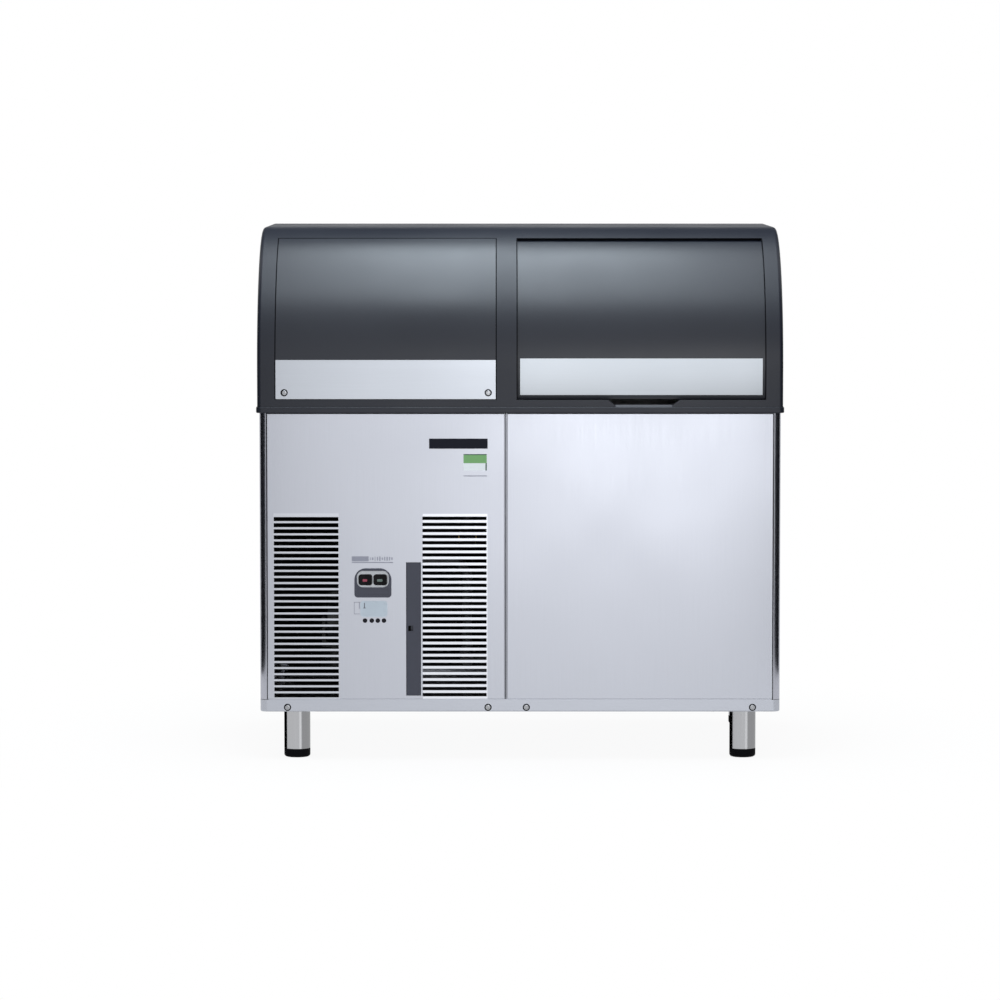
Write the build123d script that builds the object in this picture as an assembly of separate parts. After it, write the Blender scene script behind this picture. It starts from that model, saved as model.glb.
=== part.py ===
from build123d import *
import math
import os

# Ice cube machine, millimetres. X to the right, Y to the back, Z up.
# The origin is the middle of the footprint on the floor, and the front faces -Y.

# Cabinet
CABINET_WIDTH = 950.0
CABINET_DEPTH = 600.0
CABINET_HEIGHT = 547.0
LEG_HEIGHT = 90.0
SHEET = 1.2
CORNER_RADIUS = 12.5
RAIL_HEIGHT = 22.0
FLANGE = 12.0
TONGUE = 10.0
BEND_RADIUS = 1.6
PANEL_GAP = 0.8
SEAM_X = -26.0
SEAM_GAP = 4.0
SEAT = 0.3

# Hood
HOOD_HEIGHT = 333.0
HOOD_OVERHANG = 3.5
HOOD_ARC = 254.0
HOOD_WALL = 3.0
HOOD_EDGE_RADIUS = 7.0
HOOD_BACK_RADIUS = 18.0
BEAD_OUT = 2.0
BEAD_HEIGHT = 11.0
LEDGE_WIDTH = 5.5
LEDGE_THICKNESS = 3.0
OPENING_SILL = 24.0
OPENING_TOP_ANGLE = 67.7
LEFT_OPENING_INSET = 29.0
RIGHT_OPENING_INSET = 28.0
MULLION_LEFT = 17.0
MULLION_RIGHT = 20.0
NOTCH_TOP_WIDTH = 132.0
NOTCH_BOTTOM_WIDTH = 107.0
NOTCH_DEPTH = 9.0
NOTCH_CORNER = 6.0
NOTCH_LIP = 5.0
NOTCH_LIP_DEPTH = 2.4

# Curved service panel and bin door
COVER_WALL = 3.0
COVER_GAP = 1.5
COVER_LAP = 8.0
TRIM_HEIGHT = 71.0
TRIM_SHEET = 1.3
DOOR_CLEARANCE = 1.8
DOOR_END_COVER = 8.5
DOOR_BOTTOM_ANGLE = -12.5
DOOR_TOP_ANGLE = 70.7
DOOR_TRAVEL = 78.0
DOOR_TRIM_START = -10.7
DOOR_TRIM_END = 4.6
DOOR_TRIM_INSET = 6.0
DOOR_RIB = 12.0
RAIL_WALL = 2.6
RAIL_RUN = 0.35
RAIL_STOP = 2.5
GLIDE_THICKNESS = 4.5
GLIDE_ANGLE = 7.0

# Louvres
LOUVRE_COUNT = 30
LOUVRE_PITCH = 11.15
LEFT_BANK_WIDTH = 118.0
LEFT_BANK_SLOT = 7.6
RIGHT_BANK_WIDTH = 117.0
RIGHT_BANK_SLOT = 6.4
LOUVRE_TILT = 15.0

# Air filter
FILTER_FRONT_WIDTH = 25.4
FILTER_HEIGHT = 243.0
FILTER_FRAME = 10.0
FILTER_LENGTH = 238.0
FILTER_RUN = 0.3
FILTER_PROUD = 1.4
FINGER_HOLE_WIDTH = 9.0
FINGER_HOLE_HEIGHT = 10.0
FINGER_HOLE_MARGIN = 3.0

# Switch group
BEZEL_MARGIN = 7.6
BEZEL_HEIGHT = 53.4
BEZEL_TOP_RADIUS = 21.0
BEZEL_BOTTOM_RADIUS = 6.0
BEZEL_PROUD = 2.4
ROCKER_WIDTH = 25.0
ROCKER_HEIGHT = 19.6
ROCKER_PITCH = ROCKER_WIDTH + 2.2
ROCKER_SWING = 12.0
ROCKER_RUN = 0.4
ROCKER_CORNER = 5.6
ROCKER_PIN = 1.8
ROCKER_PIN_RUN = 0.06
SWITCH_MARGIN = 5.0
RING_MARGIN = 9.0
LENS_OFFSETS = (-14.6, -2.2, 8.8, 20.0)
LENS_RADIUS = 4.2
LENS_RIM = 1.1

# Ice bin
BIN_WALL = 38.0
BIN_FLOOR = 54.0
LINER = 3.0
LINER_RADIUS = 30.0
BIN_RIM_DROP = 4.0
BIN_DRAIN_RADIUS = 11.0
BIN_DRAIN_BEND = 13.0
HOSE_WALL = 2.0

# Ice maker
CHAMBER_WALL = 4.0
CHAMBER_CORNER = 14.0
SUMP_CORNER = 12.0
SUMP_DEPTH = 88.0
SHELF_DEPTH = 18.0
LEDGE_REACH = 12.0
COVER_HEIGHT = 12.0
PLATE_THICKNESS = 3.0
CUP_PITCH = 52.0
CUP_COLUMNS = 6
CUP_ROWS = 5
CUP_DEPTH = 30.0
CUP_TOP_RADIUS = 15.0
CUP_MOUTH_RADIUS = 18.0
CUP_WALL = 1.2
SLIDE_SLOPE = 14.0
SLAT_THICKNESS = 3.0
SLAT_HEIGHT = 18.0
SPRAY_TUBE = 7.0
NOZZLE_RADIUS = 4.0
NOZZLE_HEIGHT = 14.0
FLAP_COUNT = 3
FLAP_THICKNESS = 2.0
FLAP_KNUCKLE = 4.6
FLAP_RUN = 0.08
CURTAIN_ROD_RADIUS = 3.0
PORT_GAP = 1.0
PUMP_VOLUTE = 24.0
STANDPIPE_RADIUS = 9.4

# Cooling
COMPRESSOR_RADIUS = 80.0
COMPRESSOR_HEIGHT = 185.0
MOUNT_HEIGHT = 17.0
FOOT_PLATE = 3.0
CONDENSER_THICKNESS = 28.0
CONDENSER_LENGTH = 222.0
CONDENSER_HEIGHT = 248.0
SHROUD_DEPTH = 22.0
FAN_RADIUS = 93.0
FAN_HUB = 24.0
FAN_DEPTH = 24.0
FAN_BLADES = 5
FAN_TIP_GAP = 5.0
MOTOR_RADIUS = 42.0
MOTOR_LENGTH = 62.0
SHAFT_RADIUS = 4.0
SHAFT_RUN = 0.05
CONDENSER_FINS = 24
DRIER_LENGTH = 120.0
TUBE_RADIUS = 4.8
TUBE_BEND = 12.0

# Connections at the back
RECESS_WIDTH = 100.0
RECESS_HEIGHT = 315.5
RECESS_DEPTH = 30.0
INLET_RADIUS = 13.2
INLET_LENGTH = 20.0
DRAIN_RADIUS = 12.0
DRAIN_LENGTH = 24.0
SHOULDER = 2.0
COLLAR = 5.0
TEE_REACH = 26.0
GLAND_RADIUS = 8.0
GLAND_BORE = 4.5

# Legs and feet
FRONT_LEG_INSET = 65.0
REAR_LEG_INSET = 43.0
LEG_INSET = 62.0
LEG_RADIUS = 24.0
LEG_WALL = 1.5
FOOT_HEIGHT = 16.0
STUD_RADIUS = 5.0
STUD_LENGTH = 55.0
STUD_RUN = 0.08

# Screws
SCREW_RADIUS = 2.0
SCREW_HEAD_RADIUS = 5.5
SCREW_HEAD = 1.6

# Places that follow from the sizes above
LEFT = -CABINET_WIDTH / 2
RIGHT = CABINET_WIDTH / 2
FRONT = -CABINET_DEPTH / 2
BACK = CABINET_DEPTH / 2
FLOOR = LEG_HEIGHT
RAIL_TOP = FLOOR + RAIL_HEIGHT
CABINET_TOP = FLOOR + CABINET_HEIGHT
HOOD_TOP = CABINET_TOP + HOOD_HEIGHT
HOOD_LEFT = LEFT - HOOD_OVERHANG
HOOD_RIGHT = RIGHT + HOOD_OVERHANG
HOOD_FRONT = FRONT - HOOD_OVERHANG
HOOD_BACK = BACK + HOOD_OVERHANG
ARC_Y = HOOD_FRONT + HOOD_ARC
ARC_Z = HOOD_TOP - HOOD_ARC
HOOD_INNER_ARC = HOOD_ARC - HOOD_WALL
OPENING_BOTTOM = CABINET_TOP + OPENING_SILL
DOOR_OUTER = HOOD_INNER_ARC - DOOR_CLEARANCE
DOOR_INNER = DOOR_OUTER - COVER_WALL
LEFT_OPENING = (LEFT + LEFT_OPENING_INSET, SEAM_X - MULLION_LEFT)
RIGHT_OPENING = (SEAM_X + MULLION_RIGHT, RIGHT - RIGHT_OPENING_INSET)
NOTCH_CENTRE = (RIGHT_OPENING[0] + RIGHT_OPENING[1]) / 2 + 4.5
DOOR_LEFT = RIGHT_OPENING[0] - DOOR_END_COVER
DOOR_RIGHT = RIGHT_OPENING[1] + DOOR_END_COVER
LEFT_BANK_X = LEFT + 26.0
LEFT_BANK_Z = FLOOR + 26.2
RIGHT_BANK_X = SEAM_X - 152.0
RIGHT_BANK_Z = FLOOR + 28.2
FILTER_X = SEAM_X - 168.4
FILTER_BOTTOM = FLOOR + 30.4
BEZEL_X = LEFT + 206.6
BEZEL_BOTTOM = FLOOR + 209.8
BEZEL_WIDTH = ROCKER_PITCH + ROCKER_WIDTH + 2 * BEZEL_MARGIN
ROCKER_Z = BEZEL_BOTTOM + 32.6
SWITCH_WIDTH = ROCKER_PITCH + ROCKER_WIDTH + SWITCH_MARGIN
LENS_Z = FLOOR + 167.4
LENS_X = [BEZEL_X + offset for offset in LENS_OFFSETS]
FRONT_SCREW_X = (LEFT + 50.0, SEAM_X - 32.5, SEAM_X + 37.5, RIGHT - 50.0)
FRONT_SCREW_Z = FLOOR + 8.0
TRIM_SCREW_X = (LEFT + 46.0, SEAM_X - 32.0)
TRIM_SCREW_Z = OPENING_BOTTOM + 13.0
BIN_LEFT = SEAM_X + 6.0
BIN_RIGHT = RIGHT - SHEET - SEAT
BIN_FRONT = FRONT + SHEET + SEAT
BIN_BACK = BACK - 2 * SHEET - SEAT
BIN_RIM = CABINET_TOP - BIN_RIM_DROP
TRAY_FLOOR = FLOOR + SHEET
CHAMBER_LEFT = LEFT + 35.0
CHAMBER_RIGHT = BIN_LEFT - 4.0
CHAMBER_FRONT = FRONT + 100.0
CHAMBER_BACK = BACK - 30.0
CHAMBER_TOP = HOOD_TOP - 80.0
SHELF_Z = CABINET_TOP - 79.0
SUMP_LEFT = CHAMBER_LEFT + 110.0
SUMP_RIGHT = CHAMBER_RIGHT - 66.0
SUMP_FRONT = CHAMBER_FRONT + 140.0
SUMP_BOTTOM = SHELF_Z - SUMP_DEPTH
PLATE_Z = CHAMBER_TOP - 80.0
PLATE_FRONT = CHAMBER_FRONT + 72.0
PLATE_BACK = CHAMBER_BACK - 102.0
EXIT_FRONT = CHAMBER_FRONT + 50.0
EXIT_BACK = CHAMBER_BACK - 70.0
EXIT_BOTTOM = SHELF_Z + 97.0
EXIT_TOP = PLATE_Z - 32.0
SPRAY_Z = PLATE_Z - 85.0
CUP_CENTRE_X = (CHAMBER_LEFT + CHAMBER_RIGHT) / 2 - 3.0
CUP_CENTRE_Y = (PLATE_FRONT + PLATE_BACK) / 2
CUP_ROW_Y = [CUP_CENTRE_Y + (i - (CUP_ROWS - 1) / 2) * CUP_PITCH for i in range(CUP_ROWS)]
CUP_COLUMN_X = [CUP_CENTRE_X + (i - (CUP_COLUMNS - 1) / 2) * CUP_PITCH for i in range(CUP_COLUMNS)]
COIL_Z = PLATE_Z + PLATE_THICKNESS + TUBE_RADIUS
COIL_LEFT = CHAMBER_LEFT + 30.0
COIL_RIGHT = CHAMBER_RIGHT - 26.0
COIL_END_Y = CHAMBER_BACK - 18.0
RISER_Y = CHAMBER_BACK + 8.0
PUMP_X = SUMP_RIGHT - 40.0
PUMP_Y = CHAMBER_BACK - 44.0
STANDPIPE_X = SUMP_LEFT + 30.0
STANDPIPE_Y = CHAMBER_BACK - 80.0
COMPRESSOR_X = LEFT + 125.0
COMPRESSOR_Y = BACK - 135.0
COMPRESSOR_TOP = TRAY_FLOOR + MOUNT_HEIGHT + FOOT_PLATE + COMPRESSOR_HEIGHT
OUTLET_Z = COMPRESSOR_TOP - 60.0
OUTLET_X = COMPRESSOR_X + 20.0
CONDENSER_X = FILTER_X - 31.6
CONDENSER_FRONT = FRONT + 38.0
CONDENSER_BACK = CONDENSER_FRONT + CONDENSER_LENGTH
CONDENSER_BOTTOM = FLOOR + 28.0
CONDENSER_TOP = CONDENSER_BOTTOM + CONDENSER_HEIGHT
FIN_FRONT = CONDENSER_FRONT + 10.0
FIN_BACK = CONDENSER_BACK - 14.0
FAN_Y = (CONDENSER_FRONT + CONDENSER_BACK) / 2
FAN_Z = (CONDENSER_BOTTOM + CONDENSER_TOP) / 2
FAN_MOUTH = FAN_RADIUS + FAN_TIP_GAP
SHROUD_FACE = CONDENSER_X - CONDENSER_THICKNESS / 2 - SHROUD_DEPTH
VALVE_Y = CONDENSER_BACK + 60.0
DRIER_Z = CONDENSER_BOTTOM + 32.0
RECESS_LEFT = SEAM_X - 124.0
RECESS_RIGHT = RECESS_LEFT + RECESS_WIDTH
RECESS_BOTTOM = FLOOR + 24.5
RECESS_TOP = RECESS_BOTTOM + RECESS_HEIGHT
RECESS_INNER = BACK - RECESS_DEPTH
RECESS_FACE = RECESS_INNER + SHEET
CONNECTION_X = (RECESS_LEFT + RECESS_RIGHT) / 2
INLET_Z = FLOOR + 270.0
DRAIN_Z = FLOOR + 40.0
GLAND_Z = FLOOR + 315.0
BIN_DRAIN_X = BIN_LEFT + 80.0
BIN_DRAIN_Y = STANDPIPE_Y + 25.0
LEG_PLACES = {
    "front_left": (LEFT + FRONT_LEG_INSET, FRONT + LEG_INSET),
    "front_right": (RIGHT - FRONT_LEG_INSET, FRONT + LEG_INSET),
    "rear_left": (LEFT + REAR_LEG_INSET, BACK - LEG_INSET),
    "rear_right": (RIGHT - REAR_LEG_INSET, BACK - LEG_INSET),
}


def box(x0, x1, y0, y1, z0, z1):
    """Block between two corners."""
    block = Box(x1 - x0, y1 - y0, z1 - z0, align=(Align.MIN, Align.MIN, Align.MIN))
    return Pos(x0, y0, z0) * block


def rod_x(x0, x1, y, z, radius):
    """Round bar along X."""
    bar = Cylinder(radius, x1 - x0, align=(Align.CENTER, Align.CENTER, Align.MIN))
    return Pos(x0, y, z) * Rot(0, 90, 0) * bar


def rod_y(y0, y1, x, z, radius):
    """Round bar along Y."""
    bar = Cylinder(radius, y1 - y0, align=(Align.CENTER, Align.CENTER, Align.MIN))
    return Pos(x, y0, z) * Rot(-90, 0, 0) * bar


def rod_z(z0, z1, x, y, radius):
    """Round bar along Z."""
    bar = Cylinder(radius, z1 - z0, align=(Align.CENTER, Align.CENTER, Align.MIN))
    return Pos(x, y, z0) * bar


def arc_band(r_in, r_out, a0, a1, x0, x1):
    """Ring sector about the hood's arc axis. Angles run from the front, up and over to the back."""
    outer = CenterArc((0, 0), r_out, 180 - a1, a1 - a0)
    inner = CenterArc((0, 0), r_in, 180 - a1, a1 - a0)
    sides = [Line(inner @ 0, outer @ 0), Line(inner @ 1, outer @ 1)]
    face = make_face([outer, inner] + sides)
    return Pos(x0, ARC_Y, ARC_Z) * (Plane.YZ * extrude(face, x1 - x0))


def front_skin(r_in, r_out, z0, top_angle, x0, x1):
    """Flat stretch above a height z0 that runs on into the quarter round, between two radii."""
    flat = box(x0, x1, ARC_Y - r_out, ARC_Y - r_in, z0, ARC_Z)
    return flat + arc_band(r_in, r_out, 0, top_angle, x0, x1)


def tube(points, radius, bends):
    """Round bar along straight runs joined by arcs."""
    path = FilletPolyline(*points, radius=bends)
    start = Plane(origin=path @ 0, z_dir=path % 0)
    return sweep(start * Circle(radius), path=path)


def rounded_plan(width, depth, radius, z0, z1):
    """Upright block with a rounded-rectangle plan, centred on the origin."""
    return extrude(Pos(0, 0, z0) * RectangleRounded(width, depth, radius), z1 - z0)


def make_base_tray():
    outer = rounded_plan(CABINET_WIDTH, CABINET_DEPTH, CORNER_RADIUS, FLOOR, RAIL_TOP)
    outer = fillet(outer.edges().group_by(Axis.Z)[0], BEND_RADIUS * 1.5)
    inner = rounded_plan(CABINET_WIDTH - 2 * SHEET, CABINET_DEPTH - 2 * SHEET,
                         CORNER_RADIUS - SHEET, TRAY_FLOOR, RAIL_TOP)
    inner = fillet(inner.edges().group_by(Axis.Z)[0], BEND_RADIUS)
    tray = outer - inner
    holes = [rod_y(FRONT - 1, FRONT + 3, x, FRONT_SCREW_Z, SCREW_RADIUS) for x in FRONT_SCREW_X]
    return tray - holes


def make_side_panel(side):
    z0, z1 = RAIL_TOP + PANEL_GAP, CABINET_TOP
    outer = rounded_plan(CABINET_WIDTH, CABINET_DEPTH, CORNER_RADIUS, z0, z1)
    inner = rounded_plan(CABINET_WIDTH - 2 * SHEET, CABINET_DEPTH - 2 * SHEET,
                         CORNER_RADIUS - SHEET, z0, z1)
    sheet = (outer - inner) & box(RIGHT - CORNER_RADIUS, RIGHT, FRONT, BACK, z0, z1)
    edge = RIGHT - CORNER_RADIUS
    front_return = box(edge, edge + SHEET, FRONT + SHEET / 2, FRONT + FLANGE, z0, z1)
    back_flange = box(edge - FLANGE, edge, BACK - 2 * SHEET, BACK - SHEET, z0, z1)
    back_step = box(edge - SHEET, edge + SHEET, BACK - 2 * SHEET, BACK, z0, z1)
    top_flange = box(RIGHT - FLANGE, RIGHT - SHEET / 2, FRONT + CORNER_RADIUS, BACK - CORNER_RADIUS,
                     z1 - SHEET, z1)
    panel = sheet + front_return + back_flange + back_step + top_flange
    return panel if side > 0 else mirror(panel, Plane.YZ)


def folded_front(x0, x1):
    """Front sheet with its four edges folded back."""
    z0, z1 = RAIL_TOP + PANEL_GAP, CABINET_TOP - PANEL_GAP
    body = box(x0, x1, FRONT, FRONT + FLANGE, z0, z1)
    body = fillet(body.faces().sort_by(Axis.Y)[0].edges(), BEND_RADIUS)
    hollow = box(x0 + SHEET, x1 - SHEET, FRONT + SHEET, FRONT + FLANGE + 1, z0 + SHEET, z1 - SHEET)
    tongue_y = FRONT + SHEET + SEAT
    tongue = box(x0 + FLANGE, x1 - FLANGE, tongue_y, tongue_y + SHEET, FRONT_SCREW_Z - 5, z0 + SHEET / 2)
    holes = [rod_y(FRONT, FRONT + 4, x, FRONT_SCREW_Z, SCREW_RADIUS) for x in FRONT_SCREW_X]
    return body - hollow + (tongue - holes)


def louvre_cuts_and_tabs(x0, x1, lowest, slot):
    """Slots of one bank and the tabs lanced out of them, which lean inward below each bar."""
    cuts, tabs = [], []
    for i in range(LOUVRE_COUNT):
        z = lowest + i * LOUVRE_PITCH
        cuts.append(box(x0, x1, FRONT - 1, FRONT + SHEET + 1, z, z + slot))
        tab = Box(x1 - x0, slot, SHEET, align=(Align.CENTER, Align.MIN, Align.MIN))
        place = Pos((x0 + x1) / 2, FRONT + SHEET / 2, z + slot - SHEET / 8)
        tabs.append(place * Rot(-LOUVRE_TILT, 0, 0) * tab)
    return cuts, tabs


def make_front_panel_left():
    x1 = SEAM_X - SEAM_GAP / 2
    panel = folded_front(LEFT + CORNER_RADIUS + PANEL_GAP, x1)
    banks = ((LEFT_BANK_X, LEFT_BANK_X + LEFT_BANK_WIDTH, LEFT_BANK_Z, LEFT_BANK_SLOT),
             (RIGHT_BANK_X, RIGHT_BANK_X + RIGHT_BANK_WIDTH, RIGHT_BANK_Z, RIGHT_BANK_SLOT))
    for bank in banks:
        cuts, tabs = louvre_cuts_and_tabs(*bank)
        panel = panel - cuts
        panel = panel + tabs
    half = FILTER_FRONT_WIDTH / 2 + PANEL_GAP
    slot = box(FILTER_X - half, FILTER_X + half, FRONT - 1, FRONT + 3,
               FILTER_BOTTOM - PANEL_GAP, FILTER_BOTTOM + FILTER_HEIGHT + PANEL_GAP)
    switch = RectangleRounded(SWITCH_WIDTH, ROCKER_HEIGHT + SWITCH_MARGIN, 3.0)
    switch_hole = face_at(FRONT - 1, Pos(0, ROCKER_Z) * switch, 4.0)
    lens_holes = [rod_y(FRONT - 1, FRONT + 3, x, LENS_Z, LENS_RADIUS) for x in LENS_X]
    return panel - slot - switch_hole - lens_holes


def make_front_panel_right():
    return folded_front(SEAM_X + SEAM_GAP / 2, RIGHT - CORNER_RADIUS - PANEL_GAP)


def make_centre_post():
    """Grey post behind the seam, a hat section that both front panels lie against."""
    z0, z1 = TRAY_FLOOR + BEND_RADIUS + SEAT, BIN_RIM - SHEET
    half = SEAM_GAP / 2 - SEAT
    y0 = FRONT + 2.0
    web = box(SEAM_X - half, SEAM_X + half, y0, FRONT + FLANGE, z0, z1)
    back = box(SEAM_X - 5, BIN_LEFT - SEAT, FRONT + FLANGE, FRONT + FLANGE + SHEET, z0, z1)
    return web + back


def make_rear_panel():
    """Flat back sheet with the sunk plate that the water and power connections come out of."""
    edge = RIGHT - CORNER_RADIUS - SHEET - PANEL_GAP
    z0, z1 = RAIL_TOP + PANEL_GAP, CABINET_TOP - PANEL_GAP
    sheet = box(-edge, edge, BACK - SHEET, BACK, z0, z1)
    well = box(RECESS_LEFT, RECESS_RIGHT, RECESS_INNER, BACK, RECESS_BOTTOM, RECESS_TOP)
    hollow = box(RECESS_LEFT + SHEET, RECESS_RIGHT - SHEET, RECESS_FACE, BACK + 1,
                 RECESS_BOTTOM + SHEET, RECESS_TOP - SHEET)
    fittings = ((INLET_Z, INLET_RADIUS + SHOULDER), (DRAIN_Z, DRAIN_RADIUS + SHOULDER),
                (GLAND_Z, GLAND_RADIUS))
    holes = [rod_y(RECESS_INNER - 1, RECESS_FACE + 1, CONNECTION_X, z, radius) for z, radius in fittings]
    tongue_y = BACK - 2 * SHEET - SEAT / 2
    reach = edge - FLANGE
    tongue = box(-reach, reach, tongue_y, tongue_y + SHEET, RAIL_TOP - TONGUE, z0 + TONGUE / 2)
    joggle = box(-reach, reach, tongue_y, BACK - SHEET / 2, z0, z0 + TONGUE / 2)
    return sheet + well + tongue + joggle - hollow - holes


def make_hood_shell(inset):
    """Solid hood form, moved inward by the inset, with the quarter-round front."""
    x0, x1 = HOOD_LEFT + inset, HOOD_RIGHT - inset
    y1, z1 = HOOD_BACK - inset, HOOD_TOP - inset
    arc = HOOD_ARC - inset
    back = HOOD_BACK_RADIUS - inset
    outline = [
        Line((HOOD_FRONT + inset, CABINET_TOP), (HOOD_FRONT + inset, ARC_Z)),
        CenterArc((ARC_Y, ARC_Z), arc, 90, 90),
        Line((ARC_Y, z1), (y1 - back, z1)),
        CenterArc((y1 - back, z1 - back), back, 0, 90),
        Line((y1, z1 - back), (y1, CABINET_TOP)),
        Line((y1, CABINET_TOP), (HOOD_FRONT + inset, CABINET_TOP)),
    ]
    solid = Pos(x0, 0, 0) * (Plane.YZ * extrude(make_face(outline), x1 - x0))
    sides = solid.faces().filter_by(Axis.X).edges()
    kept = [e for e in sides if e.center().Z > CABINET_TOP + 0.5]
    return fillet(kept, HOOD_EDGE_RADIUS - inset)


def make_bead():
    """Rounded bead round the hood's lower edge, with a ledge inside that rests on the cabinet."""
    radius = HOOD_EDGE_RADIUS + BEAD_OUT
    width = HOOD_RIGHT - HOOD_LEFT + 2 * BEAD_OUT
    depth = HOOD_BACK - HOOD_FRONT + 2 * BEAD_OUT
    bead = rounded_plan(width, depth, radius, CABINET_TOP, CABINET_TOP + BEAD_HEIGHT)
    rims = bead.edges().group_by(Axis.Z)
    bead = fillet(rims[0] + rims[-1], BEAD_OUT - 0.1)
    step = 2 * (HOOD_OVERHANG + LEDGE_WIDTH)
    hole = rounded_plan(CABINET_WIDTH + 2 * HOOD_OVERHANG - step, CABINET_DEPTH + 2 * HOOD_OVERHANG - step,
                        4.0, CABINET_TOP - 1, CABINET_TOP + BEAD_HEIGHT + 1)
    above = box(HOOD_LEFT + HOOD_WALL, HOOD_RIGHT - HOOD_WALL, HOOD_FRONT + HOOD_WALL,
                HOOD_BACK - HOOD_WALL, CABINET_TOP + LEDGE_THICKNESS, CABINET_TOP + BEAD_HEIGHT + 1)
    return bead - hole - above


def make_hood():
    shell = make_hood_shell(0) - make_hood_shell(HOOD_WALL)
    shell = shell + make_bead()
    for x0, x1 in (LEFT_OPENING, RIGHT_OPENING):
        shell = shell - front_skin(HOOD_ARC - 20, HOOD_ARC + 10, OPENING_BOTTOM, OPENING_TOP_ANGLE, x0, x1)
    half_top, half_low = NOTCH_TOP_WIDTH / 2, NOTCH_BOTTOM_WIDTH / 2
    low = OPENING_BOTTOM - NOTCH_DEPTH
    notch = make_face(Polyline((-half_top, OPENING_BOTTOM + 1), (half_top, OPENING_BOTTOM + 1),
                               (half_low, low), (-half_low, low), close=True))
    notch = fillet(notch.vertices().group_by(Axis.Y)[0], NOTCH_CORNER)
    cut = Pos(NOTCH_CENTRE, HOOD_FRONT + 8, 0) * (Plane.XZ * extrude(notch, 20))
    outside = HOOD_FRONT - 1
    lip = make_face(Polyline((outside, low - NOTCH_LIP), (outside, low + 0.1),
                             (HOOD_FRONT + NOTCH_LIP_DEPTH, low + 0.1),
                             (HOOD_FRONT, low - NOTCH_LIP), close=True))
    scoop = Pos(NOTCH_CENTRE - half_low, 0, 0) * (Plane.YZ * extrude(lip, NOTCH_BOTTOM_WIDTH))
    screws = [rod_y(HOOD_FRONT - 1, HOOD_FRONT + 9, x, TRIM_SCREW_Z, SCREW_RADIUS) for x in TRIM_SCREW_X]
    return shell - cut - scoop - screws


def trim_top_angle():
    """Angle at which the left strip ends on the quarter round."""
    rise = OPENING_BOTTOM + TRIM_HEIGHT + COVER_GAP - ARC_Z
    return math.degrees(math.asin(rise / HOOD_ARC))


def make_fixed_panel():
    """Curved service panel: its skin fills the opening and its edge laps behind the hood."""
    x0, x1 = LEFT_OPENING
    face_r = HOOD_ARC - TRIM_SHEET
    gap_angle = math.degrees(COVER_GAP / HOOD_ARC)
    lap_angle = math.degrees(COVER_LAP / HOOD_ARC)
    skin = front_skin(HOOD_INNER_ARC - COVER_WALL, face_r, OPENING_BOTTOM + COVER_GAP,
                      OPENING_TOP_ANGLE - gap_angle, x0 + COVER_GAP, x1 - COVER_GAP)
    lap = front_skin(HOOD_INNER_ARC - COVER_WALL, HOOD_INNER_ARC, OPENING_BOTTOM - COVER_LAP,
                     OPENING_TOP_ANGLE + lap_angle, x0 - COVER_LAP, x1 + COVER_LAP)
    hollow = front_skin(HOOD_INNER_ARC - 2 * COVER_WALL, HOOD_INNER_ARC - 0.6,
                        OPENING_BOTTOM + 4 * COVER_WALL, OPENING_TOP_ANGLE - 4 * gap_angle,
                        x0 + 4 * COVER_WALL, x1 - 4 * COVER_WALL)
    above = arc_band(face_r, HOOD_ARC - 0.2, trim_top_angle() + gap_angle / 3, OPENING_TOP_ANGLE - gap_angle,
                     x0 + COVER_GAP, x1 - COVER_GAP)
    panel = skin + above + lap - hollow
    holes = [rod_y(HOOD_FRONT - 1, HOOD_FRONT + 9, x, TRIM_SCREW_Z, SCREW_RADIUS) for x in TRIM_SCREW_X]
    return panel - holes


def make_fixed_panel_trim():
    x0, x1 = LEFT_OPENING
    strip = front_skin(HOOD_ARC - TRIM_SHEET, HOOD_ARC, OPENING_BOTTOM + COVER_GAP, trim_top_angle(),
                       x0 + COVER_GAP, x1 - COVER_GAP)
    holes = [rod_y(HOOD_FRONT - 1, HOOD_FRONT + 9, x, TRIM_SCREW_Z, SCREW_RADIUS) for x in TRIM_SCREW_X]
    return strip - holes


def make_door_panel():
    """Curved door skin with a stiffening rib at each end."""
    skin = arc_band(DOOR_INNER, DOOR_OUTER, DOOR_BOTTOM_ANGLE, DOOR_TOP_ANGLE, DOOR_LEFT, DOOR_RIGHT)
    rib = math.degrees(COVER_WALL / DOOR_INNER)
    x0, x1 = RIGHT_OPENING[0] + 12, RIGHT_OPENING[1] - 12
    low = arc_band(DOOR_INNER - DOOR_RIB, DOOR_INNER + 1, DOOR_BOTTOM_ANGLE, DOOR_BOTTOM_ANGLE + rib, x0, x1)
    high = arc_band(DOOR_INNER - DOOR_RIB, DOOR_INNER + 1, DOOR_TOP_ANGLE - rib, DOOR_TOP_ANGLE, x0, x1)
    return skin + low + high


def make_door_trim():
    x0, x1 = RIGHT_OPENING[0] + DOOR_TRIM_INSET, RIGHT_OPENING[1] - DOOR_TRIM_INSET
    return arc_band(DOOR_OUTER, DOOR_OUTER + TRIM_SHEET, DOOR_TRIM_START, DOOR_TRIM_END, x0, x1)


def glide_span(end):
    """Lengthwise extent of the glides at one end of the door."""
    if end < 0:
        return DOOR_LEFT + 0.4, RIGHT_OPENING[0] - 1.2
    return RIGHT_OPENING[1] + 1.2, DOOR_RIGHT - 0.4


def make_door_glides():
    """Plastic glides under the door's four corners, which run on the rails' inner flanges."""
    glides = []
    for end in (-1, 1):
        x0, x1 = glide_span(end)
        for start in (DOOR_BOTTOM_ANGLE + 1, DOOR_TOP_ANGLE - 1 - GLIDE_ANGLE):
            glides.append(arc_band(DOOR_INNER - GLIDE_THICKNESS, DOOR_INNER, start,
                                   start + GLIDE_ANGLE, x0, x1))
    return Compound(children=glides)


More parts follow.
